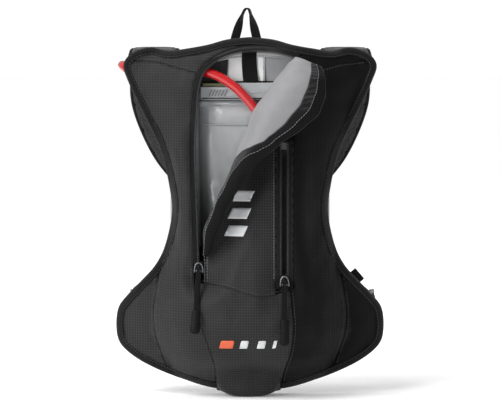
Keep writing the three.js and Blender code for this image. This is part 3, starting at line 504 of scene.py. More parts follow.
def finish_piece(obj, material, body, replaces=()):
    obj.data.materials.append(MATERIALS[material])
    if body:
        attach(obj, body)
    if replaces:
        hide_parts(*([replaces] if isinstance(replaces, str) else replaces))
    return obj


def quads(rows, columns, start=0, round_rows=False, round_columns=True):
    """Faces over a grid of points given row by row; either way of the grid may run round."""
    faces = []
    for i in range(rows if round_rows else rows - 1):
        n = (i + 1) % rows
        for j in range(columns if round_columns else columns - 1):
            k = (j + 1) % columns
            faces.append((start + i * columns + j, start + i * columns + k, start + n * columns + k,
                          start + n * columns + j))
    return faces


def grid_sheet(front, back):
    """Points and faces of a closed sheet between two grids of points."""
    rows, columns = front.shape[:2]
    n = rows * columns
    faces = quads(rows, columns, round_columns=False)
    faces += [(n + a, n + d, n + c, n + b) for a, b, c, d in faces]
    rim = ([(0, j) for j in range(columns)] + [(i, columns - 1) for i in range(1, rows)]
           + [(rows - 1, j) for j in range(columns - 2, -1, -1)] + [(i, 0) for i in range(rows - 2, 0, -1)])
    rim = [i * columns + j for i, j in rim]
    faces += [(a, b, b + n, a + n) for a, b in zip(rim, rim[1:] + rim[:1])]
    return np.vstack([front.reshape(-1, 3), back.reshape(-1, 3)]), faces


def mesh_piece(name, points, faces, material, body="pack", slot=None, replaces=(), lay=None):
    data = bpy.data.meshes.new(name)
    data.from_pydata(metres(points).tolist(), [], [tuple(int(i) for i in face) for face in faces])
    work = bmesh.new()
    work.from_mesh(data)
    bmesh.ops.recalc_face_normals(work, faces=work.faces)
    work.to_mesh(data)
    work.free()
    data.shade_smooth()
    if lay is not None:
        attribute = data.attributes.new("lay", "FLOAT_VECTOR", "POINT")
        attribute.data.foreach_set("vector", np.asarray(lay, np.float32).ravel())
    return finish_piece(add_object(name, data), material, body, replaces)


def thick_sheet(name, plan, faces, front, rear, material, **more):
    """Closed sheet over a plan of (x, h) points, between two lists of y, with walls round its edges."""
    plan, faces = np.asarray(plan, float), np.asarray(faces, int)
    used = np.unique(faces)
    index = np.full(len(plan), -1)
    index[used] = np.arange(len(used))
    plan, faces, front, rear = plan[used], index[faces], np.asarray(front)[used], np.asarray(rear)[used]
    count = len(plan)
    points = np.vstack([np.column_stack([plan[:, 0], front, plan[:, 1]]),
                        np.column_stack([plan[:, 0], rear, plan[:, 1]])])
    ways = dict.fromkeys(edge for a, b, c in faces for edge in ((a, b), (b, c), (c, a)))
    walls = [(a, b, b + count, a + count) for a, b in ways if (b, a) not in ways]
    every = [tuple(f) for f in faces] + [(c + count, b + count, a + count) for a, b, c in faces] + walls
    return mesh_piece(name, points, every, material, **more)


def plan_of(rings, lines, spacing):
    """Triangles over the first ring, with every ring and line among their edges."""
    points, edges = [], []
    for closed, group in ((True, rings), (False, lines)):
        for line in group:
            start = len(points)
            points.extend(Vector(p) for p in line)
            edges.extend((start + i, start + i + 1) for i in range(len(line) - 1))
            if closed:
                edges.append((start + len(line) - 1, start))
    low, high = np.min(rings[0], 0), np.max(rings[0], 0)
    across, up = np.meshgrid(np.arange(low[0], high[0], spacing), np.arange(low[1], high[1], spacing * 0.87))
    across = across + (np.arange(across.shape[0]) % 2)[:, None] * spacing / 2
    grid = np.column_stack([across.ravel(), up.ravel()])
    grid = grid[inside(rings[0], grid[:, 0], grid[:, 1])]
    for line in [np.vstack([r, r[:1]]) for r in map(np.asarray, rings)] + list(lines):
        grid = grid[near(line, grid[:, 0], grid[:, 1])[0] > spacing * 0.55]
    points.extend(Vector(p) for p in grid)
    made = delaunay_2d_cdt(points, edges, [], 0, 1e-4)
    plan = np.array([tuple(v) for v in made[0]])
    faces = np.array(made[2])
    middle = plan[faces].mean(axis=1)
    keep = inside(rings[0], middle[:, 0], middle[:, 1])
    for hole in rings[1:]:
        keep &= ~inside(hole, middle[:, 0], middle[:, 1])
    return plan, faces[keep]


def slab(name, rings, front, rear, material, spacing=5, **more):
    plan, faces = plan_of(rings, [], spacing)
    return thick_sheet(name, plan, faces, front(*plan.T), rear(*plan.T), material, **more)


def frames(points, hints):
    """Along, across and normal directions for a sweep, its width kept along the hints."""
    points = np.asarray(points, float)
    along = directions(points)
    hints = np.asarray(hints, float).reshape(-1, 3)
    at = np.linspace(0, len(hints) - 1, len(points))
    hint = np.stack([np.interp(at, np.arange(len(hints)), hints[:, k]) for k in range(3)], axis=1)
    across = normalised(hint - along * (hint * along).sum(axis=1, keepdims=True))
    return along, across, np.cross(along, across)


def sweep(name, points, section, hints, material, caps=True, **more):
    """Closed section of (across, normal) points, or one section for every point, swept along the points."""
    _, across, normal = frames(points, hints)
    points = np.asarray(points, float)
    section = np.asarray(section, float)
    if section.ndim == 2:
        section = np.broadcast_to(section, (len(points), *section.shape))
    count = section.shape[1]
    rings = points[:, None] + section[..., :1] * across[:, None] + section[..., 1:] * normal[:, None]
    reach = distance_along(points)
    lay = np.stack([section[..., 0], np.broadcast_to(reach[:, None], section.shape[:2]), section[..., 1]], axis=-1)
    faces = quads(len(points), count)
    if caps:
        faces.append(tuple(range(count))[::-1])
        faces.append(tuple((len(points) - 1) * count + j for j in range(count)))
    return mesh_piece(name, rings.reshape(-1, 3), faces, material, lay=lay.reshape(-1, 3), **more)


def strap_section(width, thickness, crown=0.0, count=7):
    """Flat section with rounded edges, thicker in the middle by the crown."""
    u = np.cos(np.linspace(0, math.pi, count))
    top = [(width / 2 * a, (thickness / 2) * (1 - abs(a) ** 8) ** 0.5 + crown / 2 * (1 - a * a)) for a in u]
    return np.array(top + [(a, -b) for a, b in top[::-1][1:-1]])


def strap(name, points, width, thickness, hints, material="webbing", steps=60, crown=0.0, **more):
    line = curve(points, steps)
    return sweep(name, line, strap_section(width, thickness, crown, 9), hints, material, **more)


def circle(radius, sides):
    turn = np.arange(sides) / sides * TAU
    return np.column_stack([np.cos(turn) * radius, np.sin(turn) * radius])


def boxes(name, centres, ways, sizes, material, **more):
    """Many small rounded blocks in one mesh; ways holds the along and up directions of each."""
    ring = np.array([(-1, -0.6), (-0.6, -1), (0.6, -1), (1, -0.6), (1, 0.6), (0.6, 1), (-0.6, 1), (-1, 0.6)])
    stations = [(-1, 0.55), (-0.72, 1), (0.72, 1), (1, 0.55)]
    points, faces = [], []
    for centre, (along, up) in zip(centres, ways):
        along = normalised(np.asarray(along, float))
        side = normalised(np.cross(along, up))
        up = np.cross(side, along)
        start = len(points)
        for s, shrink in stations:
            for a, b in ring * shrink:
                points.append(centre + along * s * sizes[0] / 2 + side * a * sizes[1] / 2 + up * b * sizes[2] / 2)
        sides = len(ring)
        faces += quads(len(stations), sides, start)
        faces.append(tuple(start + j for j in range(sides))[::-1])
        faces.append(tuple(start + (len(stations) - 1) * sides + j for j in range(sides)))
    return mesh_piece(name, points, faces, material, **more)


def lifted(line, face, lift=0.0):
    """The (x, h) line as points that far out from a face."""
    line = np.asarray(line, float)
    return np.column_stack([line[:, 0], face(*line.T) - lift, line[:, 1]])


def on_skin(line, lift):
    return lifted(line, skin, lift)


def stitches(name, lines, material="thread", pitch=3.4, length=2.4, thick=0.55, up=(0, -1, 0), **more):
    """Rows of thread dashes along 3-D lines."""
    centres, ways = [], []
    for line in lines:
        line = resample(line, step=pitch)
        steps = np.diff(line, axis=0)
        centres.extend((line[:-1] + line[1:]) / 2)
        ways.extend((step, up) for step in steps)
    return boxes(name, centres, ways, (length, thick, thick * 0.8), material, **more)


# ---- hose and its cord
HOSE_ROUTE = [
    (50.5, -66, 114), (51.5, -60, 134), (53, -51.5, 160), (54, -44, 190), (54, -40.5, 220), (54, -39.5, 243),
    (48.8, -38, 263), (42.5, -36.4, 271.5), (34, -34.2, 278), (21, -31.8, 285.2), (9, -30.4, 294), (-3, -29.8, 308),
    (-16, -29.5, 321), (-32, -28.9, 331.5), (-44, -27.3, 336), (-55, -23.6, 337.3), (-64, -16.6, 336.3),
    (-72, -7, 333.3), (-79, 1.6, 330.3), (-89, 8.8, 328.3), (-103, 13.2, 328.5), (-119, 18.4, 333),
    (-131.5, 31, 339.3), (-137, 48, 343), (-134.8, 65, 341.3), (-127.5, 77, 334), (-118, 82, 321.5),
    (-107.5, 83.2, 306.5), (-97.5, 83.8, 291), (-88.5, 87, 275), (-80, 92, 260), (-72, 97.5, 246),
]
hose_line = curve(HOSE_ROUTE, 220)
hose = sweep("drinking_hose_tube", hose_line, circle(4.98, 20), [(0.3, 1, 0.2)], "hose_tpu", slot="red_tpu",
             replaces="drinking_hose")

# ---- hose keepers and valve
for name, place in (("hose_keeper_upper", 28), ("hose_keeper_lower", 30)):
    at = np.array(HOSE_ROUTE[place], float)
    along = normalised(np.array(HOSE_ROUTE[place + 1], float) - HOSE_ROUTE[place - 1])
    side = normalised(np.cross(along, (0, 0, 1)))
    turn = np.linspace(0, TAU, 41)[:, None]
    ring = at + 6.2 * (np.cos(turn) * side + np.sin(turn) * np.cross(along, side))
    sweep(name + "_loop", ring, strap_section(9.6, 1.1), [along], "webbing", caps=False, replaces=name)


def keep_node(name, material, bevel=0.5):
    """A hard solid whose shape is right: its edges are eased and it gets its material."""
    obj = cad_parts[name]
    weld = obj.modifiers.new("weld", "WELD")
    weld.merge_threshold = 1e-5
    ease = obj.modifiers.new("ease", "BEVEL")
    ease.width = bevel / 1000
    ease.segments = 3
    ease.limit_method = "ANGLE"
    ease.angle_limit = math.radians(38)
    obj.data.shade_smooth()
    even = obj.modifiers.new("even", "WEIGHTED_NORMAL")
    even.keep_sharp = False
    if not obj.data.materials:
        obj.data.materials.append(None)
    for i in range(len(obj.data.materials)):
        obj.data.materials[i] = MATERIALS[material]


HARD = {  # the material and the eased edge, in millimetres, of the solids that stay
    ("soft_grip", 0.4): ("hose_port",),
    ("zinc", 0.45): ("main_zip_slider", "pocket_zip_slider"),
    ("clip_plastic", 0.6): ("bladder_slide_clip",),
    ("olive_plastic", 0.5): ("bladder_top_rail",),
    ("black_acetal", 0.5): ("quick_connect_port",),
    ("black_acetal", 0.6): ("quick_connect_elbow", "bite_valve_body", "ladder_lock_upper_left",
                            "ladder_lock_upper_right", "ladder_lock_lower_left", "ladder_lock_lower_right"),
    ("red_tpu", 0.5): ("quick_connect_button", "bite_valve_lock"),
    ("soft_grip", 0.8): ("bite_valve_mouthpiece",),
    ("black_acetal", 0.7): ("chest_buckle_female", "chest_buckle_male"),
}
for (material, bevel), names in HARD.items():
    for name in names:
        keep_node(name, material, bevel)

# ---- front panels
fold_edge = np.array([(-48, -40), (-48, 134), (-46.5, 141), (-37, 169), (-26.5, 193), (-9, 226), (53.7, 356),
                      (59, 362), (59, 420)], float)
right_of_fold = np.vstack([fold_edge, [(220, 420), (220, -40)]])
left_of_track = np.vstack([lobe_seam, track[1:][track[1:, 0] < -14], [(-14, 400), (-210, 400), (-210, -20)]])
left_wing_area = np.vstack([wing_seam, [(-200, 142), (-200, -20)]])
above_yoke = np.vstack([yoke_seam, [(-40, 332), (0, 332), (0, 410), (-200, 410)]])
lower_area = np.vstack([lobe_seam[lobe_seam[:, 1] < 112], arch_seam[1:-1], right_lobe_seam[::-1]])
centre_area = np.vstack([arch_seam[arch_seam[:, 0] < POCKET_LEFT], [
    (POCKET_LEFT, POCKET_FOOT), (POCKET_LEFT, POCKET_TOP), (35.8, POCKET_TOP), (35.8, 322), (-90, 322)]])
above_track = np.vstack([track[track[:, 0] > -30], [(59, 356), (59, 420), (-30, 420)]])

CLOTH = 1.1  # thickness
EDGE_INSET = 2.6  # from the pack's outline to the cloth's edge, under the binding
panel_edge = shifted(outline, EDGE_INSET, closed=True)
front_lines = seams + [resample(fold_edge[:8], step=4), resample([(-90, 322), (39, 322)], step=4),
                       resample([(-14, 350), (-14, 372)], step=4)]
plan, plan_faces = plan_of([panel_edge], front_lines, 3.0)
front_y = skin(*plan.T)
middle_x, middle_h = plan[plan_faces].mean(axis=1).T


def in_area(area):
    return inside(area, middle_x, middle_h)


left_area = in_area(left_of_track)
right_area = in_area(right_of_fold) & ~in_area(pocket_mouth)
left_wing, right_wing = in_area(left_wing_area), in_area(mirrored(left_wing_area))
lower = in_area(lower_area)
centre = in_area(centre_area)
# The right-hand panels take the darker copy of the ripstop: painted shade on the side away from the light.
AREAS = {
    "left_wing_panel": (left_wing, "ripstop"),
    "right_wing_panel": (right_wing, "ripstop_shade"),
    "left_side_panel": (left_area & ~left_wing & ~in_area(above_yoke), "ripstop"),
    "left_yoke_panel": (left_area & in_area(above_yoke), "ripstop"),
    "right_yoke_panel": (right_area & in_area(mirrored(above_yoke)), "ripstop_shade"),
    "centre_panel": (right_area & centre & ~lower, "ripstop"),
    "lower_centre_panel": (lower & ~in_area(pocket_mouth), "ripstop"),
}
taken = np.any([mask for mask, _ in AREAS.values()], axis=0)
AREAS["right_side_panel"] = (right_area & ~taken & (middle_x > 30), "ripstop_shade")
for name, (mask, material) in AREAS.items():
    thick_sheet(name + "_cloth", plan, plan_faces[mask], front_y, front_y + CLOTH, material, replaces=name)
arch = in_area(above_track) & (middle_x > -14) & (middle_x < 59) & ~in_area(right_of_fold)
thick_sheet("mouth_arch_band", plan, plan_faces[arch], front_y - 0.3, front_y + 1.4, "ripstop_shade",
            replaces="edge_binding")

# Topstitching beside the seams
rows = []
for line, offsets in ((lobe_seam, (2.6,)), (wing_seam, (-2.4, 2.4)), (mirrored(wing_seam), (-2.4, 2.4)),
                      (yoke_seam, (2.4,)), (mirrored(yoke_seam), (2.4,)), (arch_seam, (2.4,)),
                      (right_lobe_seam, (-2.6,)), (upper_seam, (2.4,))):
    for offset in offsets:
        side_line = shifted(line, offset)
        side_line = side_line[inside(shifted(outline, 8, closed=True), *side_line.T)]
        if len(side_line) > 3:
            rows.append(on_skin(side_line, 0.1))
stitches("panel_topstitch", rows, pitch=3.6, length=2.6, thick=0.5)
pocket_row = np.array([(POCKET_LEFT - 2.2, h) for h in np.linspace(122, 266, 60)])
double_row = [np.array([(x, h) for h in np.linspace(118, 158, 24)]) for x in (-47.6, -44.6)]
stitches("pocket_topstitch", [on_skin(pocket_row, 0.12)] + [on_skin(r, 0.12) for r in double_row], "thread_light",
         pitch=3.2, length=2.3, thick=0.5)

# ---- bound edge
ring = np.vstack([outline, outline[:1]])
ring = resample(ring, count=620)[:-1]
inward = shifted(ring, 1, closed=True) - ring
walk = distance_along(ring)
ripple = 0.25 * np.sin(walk * TAU / 6.5) + 0.2 * np.sin(walk * TAU / 17 + 1)
BOUND = [(7.3, "front", 0.1), (7.0, "front", 0.9), (4.2, "front", 1.5), (1.6, "front", 1.2), (0.2, "front", 0.0),
         (-0.5, "middle", 0.0), (0.2, "rear", 0.0), (1.6, "rear", 1.2), (4.2, "rear", 1.5), (6.6, "rear", 0.9),
         (6.9, "rear", 0.1)]
rings, lay = [], []
for i, (depth, face, lift) in enumerate(BOUND):
    spot = ring + inward * depth
    # the settled front lines don't reach the outline, so the edge follows the plain surface
    front, rear = outer_face(*spot.T), rear_face(*spot.T)
    level = {"front": np.minimum(front - lift - ripple * (lift > 0.5), rear - 2), "rear": rear + lift,
             "middle": (front + rear) / 2}[face]
    rings.append(np.column_stack([spot[:, 0], level, spot[:, 1]]))
    lay.append(np.column_stack([np.full(len(spot), i * 2.4), walk, np.zeros(len(spot))]))
points = np.stack(rings, axis=1).reshape(-1, 3)
mesh_piece("bound_edge", points, quads(len(ring), len(BOUND), round_rows=True), "binding_tape",
           lay=np.stack(lay, axis=1).reshape(-1, 3), replaces="edge_binding")
bind_row = ring + inward * 5.9
bind_front = lifted(bind_row, outer_face, 1.45 + ripple)
stitches("binding_topstitch", [np.vstack([bind_front, bind_front[:1]])], "thread", pitch=3.4, length=2.2,
         thick=0.45)

# Belly of the lower panel, which hangs over the bound edge
BELLY_DROP = 4.2
BELLY_TOP = 26.0
BELLY_STEPS = 22
belly_x = np.linspace(-35.5, 32.5, 45)
belly_part = np.linspace(0, 1, BELLY_STEPS)
belly_h = BELLY_TOP * (1 - belly_part)
belly_fold = spline([(0, BELLY_TOP), (0.6, 17), (2.2, 8), (6, 0.5), (12, -BELLY_DROP + 0.7), (18, -BELLY_DROP),
                     (25, -3.8), (31, -1.2)], BELLY_STEPS - 1)
emerge = 0.7 - 1.1 * smooth(belly_part, 0, 0.22)  # out of the panel's face
fullness = (1 - np.abs((belly_x + 1.5) / 34) ** 3.5) ** 0.8
loosening = smooth(belly_part, 0.08, 0.6)
sections = []
for x, full in zip(belly_x, fullness):
    column = np.full(BELLY_STEPS, x)
    plain = skin(column, belly_h) + emerge
    ruffle = 0.7 * waves(column, belly_fold[:, 1] * 3, 51, 17) * smooth(belly_part, 0.1, 0.4)
    loose = skin(x, BELLY_TOP) + emerge + belly_fold[:, 0] + ruffle
    share = full * loosening
    sections.append(np.column_stack([column, plain + (loose - plain) * share,
                                     belly_h + (belly_fold[:, 1] - belly_h) * share]))
outside = np.array(sections)
points, faces = grid_sheet(outside, outside + [0, 1.2, 0.8])
mesh_piece("lower_belly_cloth", points, faces, "ripstop")

# ---- back
PORT = np.array([(-85, 325), (-59, 325), (-59, 345), (-85, 345)], float)


def quilted(x, h):
    y = rear_face(x, h)
    groove = np.minimum(np.abs((h - 150) % 36 - 18), np.abs((x + 200) % 400 - 200))
    return y + 0.9 * (1 - np.exp(-(groove / 4) ** 2)) * smooth(h, 0, 40)


slab("back_board_mesh", [panel_edge[::2], PORT], board_face, quilted, "back_mesh", 5.5,
     replaces="back_panel")


PAD_VOXEL = 0.0042
PAD_GROWTH = 0.0042  # the furthest that the simulation may move a point
PAD_FRONT, PAD_REAR = -0.0069, 0.0016
GROOVE_DEPTH = 0.0026
GROOVE_WIDTH = 2.6


def apply(obj):
    graph = bpy.context.evaluated_depsgraph_get()
    made = bpy.data.meshes.new_from_object(obj.evaluated_get(graph))
    old = obj.data
    obj.modifiers.clear()
    obj.data = made
    bpy.data.meshes.remove(old)


def vertices(obj):
    co = np.zeros(len(obj.data.vertices) * 3)
    obj.data.vertices.foreach_get("co", co)
    return co.reshape(-1, 3)


def place_vertices(obj, co):
    obj.data.vertices.foreach_set("co", np.ascontiguousarray(co, np.float64).ravel())
    obj.data.update()


def cloth_pad(name, outline_points, node, grooves):
    """Foam pad swollen by a short cloth simulation, then sewn down along its channels."""
    plan, faces = plan_of([outline_points], [], 6)
    work = thick_sheet(name, plan, faces, np.full(len(plan), -6.3), np.full(len(plan), -2.2), "back_mesh", body=None)
    bpy.context.view_layer.objects.active = work
    remesh = work.modifiers.new("remesh", "REMESH")
    remesh.mode = "VOXEL"
    remesh.voxel_size = PAD_VOXEL
    apply(work)
    start = vertices(work)
    cloth = work.modifiers.new("cloth", "CLOTH")
    cloth.settings.use_pressure = True
    cloth.settings.uniform_pressure_force = 4
    cloth.settings.quality = 5
    cloth.settings.tension_stiffness = 18
    cloth.settings.effector_weights.gravity = 0
    for step in range(1, 21):
        bpy.context.scene.frame_set(step)
    apply(work)
    moved = vertices(work) - start
    far = np.linalg.norm(moved, axis=1, keepdims=True)
    place_vertices(work, start + moved * np.minimum(1, PAD_GROWTH / np.maximum(far, 1e-9)))
    bpy.context.scene.frame_set(1)
    divide = work.modifiers.new("divide", "SUBSURF")
    divide.levels = divide.render_levels = 1
    apply(work)
    co = vertices(work)
    x, h = co[:, 0] * 1000, co[:, 2] * 1000 + ORIGIN_HEIGHT
    outer = co[:, 1] * 1000 > -4.0
    dip = np.zeros(len(co))
    for line in grooves:
        dip = np.maximum(dip, np.exp(-(near(line, x, h)[0] / GROOVE_WIDTH) ** 2))
    co[:, 1] = np.where(outer, np.minimum(co[:, 1], PAD_REAR) - dip * GROOVE_DEPTH, np.maximum(co[:, 1], PAD_FRONT))
    place_vertices(work, co)
    work.data.shade_smooth()
    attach(work, "pack")
    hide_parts(node)


side_pad = spline([(14, 150), (66, 150), (66, 200), (72, 250), (84, 300), (60, 322), (14, 322)], 80)
side_pad = shifted(ring_of(side_pad, 4), 2.5, closed=True)
lumbar_pad = spline([(-62, 72), (-58, 66), (0, 64), (58, 66), (62, 72), (64, 95), (56, 126), (0, 134), (-56, 126),
                     (-64, 95), (-62, 72)], 90)[:-1]
lumbar_pad = shifted(lumbar_pad, 2.5, closed=True)
right_grooves = [np.array([(-5, h), (110, h + 14)], float) for h in (172, 200, 228, 256, 284)]
cloth_pad("back_pad_right_foam", side_pad, "back_pad_right", right_grooves)
cloth_pad("back_pad_left_foam", mirrored(side_pad)[::-1], "back_pad_left", [mirrored(g) for g in right_grooves])
lumbar_grooves = [np.array([(x, 50), (x * 0.8, 150)], float) for x in (-36, -12, 12, 36)]
cloth_pad("back_pad_lumbar_foam", lumbar_pad, "back_pad_lumbar", lumbar_grooves)

# ---- inside the mouth
FRONT_CLEARANCE = 1.35
mouth_ring = np.array([(-84, 152), (84, 152), (84, 356), (60, 357), (30, 361), (0, 364), (-30, 362), (-60, 357),
                       (-84, 354)], float)
mouth_ring = ring_of(mouth_ring, 5)
port_room = np.array([(-88, 321), (-56, 321), (-56, 349), (-88, 349)], float)
lining = slab("mouth_lining_sheet", [mouth_ring, port_room],
              lambda x, h: board_face(x, h) - FRONT_CLEARANCE - 0.35 * (1 + waves(x, h, 12, 26)),
              lambda x, h: board_face(x, h) - 0.5 - 0.35 * (1 + waves(x, h, 12, 26)), "lining_fabric", 5,
              replaces="mouth_lining")
# A dark sheet in the mouth's upper-left corner, in front of the lining: painted shade there.
dark_ring = np.array([(-62, 322), (-24.5, 322), (-23, 353), (-44, 350), (-58, 338)], float)
slab("mouth_corner_painted_shade", [dark_ring], lambda x, h: board_face(x, h) - 4.2 - 0.5 * waves(x, h, 3, 18),
     lambda x, h: board_face(x, h) - 3.2 - 0.5 * waves(x, h, 3, 18), "lining_painted_shade", 4, slot="ripstop")
hem_line = [(-34, 347.5), (-18, 351), (0, 352.4), (30, 351.6), (52, 348)]
hem = spline(hem_line, 40)
hem_ring = np.vstack([hem, (hem + [0, 6.6])[::-1]])
# The hem is lining fabric, given the lighter copy of it: painted light on its fold.
slab("mouth_hem", [hem_ring], lambda x, h: board_face(x, h) - 5.4, lambda x, h: board_face(x, h) - 4.4, "hem", 3,
     slot="lining_fabric")
stitches("hem_stitch", [np.column_stack([hem[:, 0], board_face(*hem.T) - 5.6, hem[:, 1] + 1.2])], "thread")

label_low, label_high = (v * 1000 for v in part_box("care_label"))
x0, x1 = label_low[0], label_high[0]
h0, h1 = label_low[2] + ORIGIN_HEIGHT, label_high[2] + ORIGIN_HEIGHT
label_ring = ring_of([(x0, h0), (x1, h0), (x1, h1), (x0, h1)], 3)


def label_face(x, h):
    curl = ((np.abs(x - (x0 + x1) / 2) / 20) ** 3) * 0.8 * (1 - smooth(h, h0, h1))
    return label_low[1] - 0.2 - curl


slab("care_label_satin", [label_ring], label_face, lambda x, h: label_face(x, h) + 0.45, "label_satin", 3,
             replaces="care_label")
edge_rows = [np.array([(x0 + 1.5, h1 - 1.6), (x1 - 1.5, h1 - 1.6)], float),
             np.array([(x0 + 1.4, h0 + 2), (x0 + 1.4, h1 - 2)], float),
             np.array([(x1 - 1.4, h0 + 2), (x1 - 1.4, h1 - 2)], float)]
stitches("label_stitch", [lifted(row, label_face, 0.15) for row in edge_rows], "thread",
         pitch=2.6, length=1.8, thick=0.4)

strap("bladder_hanger_tape", [(-0.9, -16.6, 359), (-0.9, -16.2, 350), (-0.4, -16.6, 338), (0.8, -18.4, 326.5)], 15.8,
      1.7, [(1, 0, 0)], steps=40, replaces="bladder_hanger")

# ---- bladder
BLADDER_X, BLADDER_HALF, BLADDER_LOW, BLADDER_HIGH = 3, 56, 30, 307
bladder_depth = profile([(30, 3), (45, 16), (75, 27), (110, 27), (150, 21), (190, 11), (225, 5), (280, 4), (307, 2)])
x, half, low, high = BLADDER_X, BLADDER_HALF, BLADDER_LOW, BLADDER_HIGH
bladder_ring = spline([(x - half, high), (x - half, high - 60), (x - half + 2, low + 60), (x - half + 8, low + 16),
                       (x - half + 30, low), (x + half - 30, low), (x + half - 8, low + 16), (x + half - 2, low + 60),
                       (x + half, high - 60), (x + half, high)], 120)


def bladder_rear(x, h):
    return board_face(x, h) - 2.7


def bladder_front(x, h):
    across = np.minimum(1, np.abs(x - BLADDER_X) / BLADDER_HALF)
    return bladder_rear(x, h) - 4 - bladder_depth(h) * (1 - across**4) ** 0.6


bladder_edge = np.vstack([bladder_ring, bladder_ring[:1]])
rail_low, rail_high = (v * 1000 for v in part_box("bladder_top_rail"))
clip_low, clip_high = (v * 1000 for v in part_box("bladder_slide_clip"))
rail_front = rail_low[1] - 0.5
rail_h = (rail_low[2] + rail_high[2]) / 2 + ORIGIN_HEIGHT
lip = np.array([(x, rail_front - 0.7, rail_h - 0.4) for x in np.linspace(-21, clip_high[0] - 1, 40)])
sweep("clip_upper_lip", lip, strap_section(1.4, 5.0, 0, 9), [(0, 1, 0)], "clip_plastic")
cord_line = spline([(-50, rail_front - 0.2, rail_h + 3.0), (-20, rail_front - 0.5, rail_h + 3.2),
                    (20, rail_front - 0.5, rail_h + 3.4), (31, rail_front - 0.6, rail_h + 2.6),
                    (38, rail_front - 1.4, rail_h - 1.2)], 60)
sweep("clip_tether", cord_line, circle(0.75, 8), [(0, 1, 0)], "cord_weave", slot="webbing")
rib_h = (clip_low[2] + clip_high[2]) / 2 + ORIGIN_HEIGHT
# The clip's ribs are clip plastic, given a grey copy of it: painted shade along the ribs.
boxes("clip_grip_ribs", [np.array([-41.6 + i * 3.2, clip_low[1] - 0.1, rib_h + 0.5]) for i in range(6)],
      [(np.array([0.45, 0, 0.9]), (0, -1, 0))] * 6, (7.5, 0.9, 1.0), "label_shadow", slot="clip_plastic")
recess_ring = resample([(-37, 288), (-34, 285), (14, 283), (24, 285), (26, 296), (24, 301), (-30, 302), (-34, 300),
                        (-37, 288)], step=3)
weld = shifted(bladder_ring, 5.5, closed=True)
bladder_plan, bladder_faces = plan_of([bladder_ring], [recess_ring, np.vstack([weld, weld[:1]])], 4)
bx, bh = bladder_plan.T
rim = near(bladder_edge, bx, bh)[0]
film = bladder_front(bx, bh)
creases = 0.9 * waves(bx, bh * 0.8, 21, 30) + 0.4 * waves(bx, bh, 22, 12)
in_recess = inside(recess_ring, bx, bh)
recess_gap = near(recess_ring, bx, bh)[0]
film = film - (0.9 + creases) * smooth(rim, 5, 14) * (1 - 0.8 * in_recess) * (1 - smooth(bh, 255, 285) * 0.6)
film = film - 2.2 * in_recess * smooth(recess_gap, 0, 4) + 1.5 * np.exp(-((recess_gap / 2.2) ** 2))
flat_weld = bladder_rear(bx, bh) - 2.6
film = np.where(rim < 5.6, np.minimum(flat_weld, film + 3), film)
rear_film = bladder_rear(bx, bh) - np.where(rim < 5.6, 1.2, 0.0)
thick_sheet("bladder_film", bladder_plan, bladder_faces, film, rear_film, "clear_tpu", replaces="bladder_body")
level = np.column_stack([np.linspace(-50, 56, 50), np.full(50, 281.5)])
sweep("bladder_weld_line", lifted(level, bladder_front, 0.9), circle(0.7, 6), [(0, 1, 0)], "clear_tpu")
slot_line = np.array([(clip_low[0] + 1, -23.4, clip_low[2] + ORIGIN_HEIGHT + 1.6),
                      (clip_high[0] - 1, -23.4, clip_low[2] + ORIGIN_HEIGHT + 1.6)], float)
sweep("clip_slot_shadow", resample(slot_line, step=6), strap_section(0.5, 1.3, 0, 7), [(0, 1, 0)], "black_acetal")

# ---- zips
TAPE, COIL = 4.2, 1.8
TOOTH_UP = (0, -1, 0)
COIL_LINE = 0.35 + TAPE + COIL * 0.3


def zip_half(name, line, side, node, start=0.0, body="pack"):
    """Tape with a rolled edge, and a row of teeth on its far side; side is 1 to the right of an upward line."""
    line = resample(line, step=2.5)
    front = shifted(line, side * 0.6)
    back = shifted(line, -side * (0.35 + TAPE))
    middle = (front + back) / 2
    across = front - back
    y_front, y_back = outer_face(*front.T) + 0.2, outer_face(*back.T) + 0.35
    points3 = np.column_stack([middle[:, 0], (y_front + y_back) / 2, middle[:, 1]])
    hint = np.column_stack([across[:, 0], y_front - y_back, across[:, 1]])
    width = np.linalg.norm(hint, axis=1).mean()
    sweep(name + "_tape", points3, strap_section(width, 0.9), hint, "zip_tape", replaces=node, body=body)
    teeth = resample(shifted(line, -side * COIL_LINE), step=1.75)
    centres = lifted(teeth, outer_face, -0.5)
    steps = np.gradient(centres, axis=0)
    ways = [(np.cross(s, (0, 1, 0)), TOOTH_UP) for s in steps]
    boxes(name + "_teeth", centres, ways, (2.5, 1.15, 1.8), "teeth", body=body)


zip_half("main_zip_left", track, 1, "main_zip_left_half")
slit_h = np.linspace(SLIT_LOW[2], SLIT_HIGH[2], 40)
zip_half("pocket_zip_left", np.column_stack([np.full(40, POCKET_LEFT), slit_h]), 1, "pocket_zip_left_half")
zip_half("pocket_zip_right", np.column_stack([np.full(40, POCKET_RIGHT), slit_h]), -1, "pocket_zip_right_half")
piping = shifted(track, 0.4)
sweep("main_zip_piping", on_skin(piping, 0.2)[::2], circle(1.25, 8), [(0, 1, 0)], "binding_tape")
for name, x in (("left", POCKET_LEFT), ("right", POCKET_RIGHT)):
    edge = np.array([(x, h) for h in np.linspace(POCKET_FOOT + 4, POCKET_TOP - 1, 60)])
    sweep(f"pocket_placket_{name}", on_skin(edge, 0.15), circle(0.95, 8), [(0, 1, 0)], "ripstop_shade")
for name, h, half_h in (("top", POCKET_TOP - 2.5, 3.4), ("foot", POCKET_FOOT + 3, 4.4)):
    left, right = POCKET_LEFT - 0.5, POCKET_RIGHT + 0.5
    slab(f"pocket_zip_{name}_stop", [ring_of([(left, h - half_h), (right, h - half_h), (right, h + half_h),
                                              (left, h + half_h)], 2.5)],
         lambda x, h: outer_face(x, h) - 0.75, lambda x, h: outer_face(x, h) + 0.4, "ripstop_shade", 3)

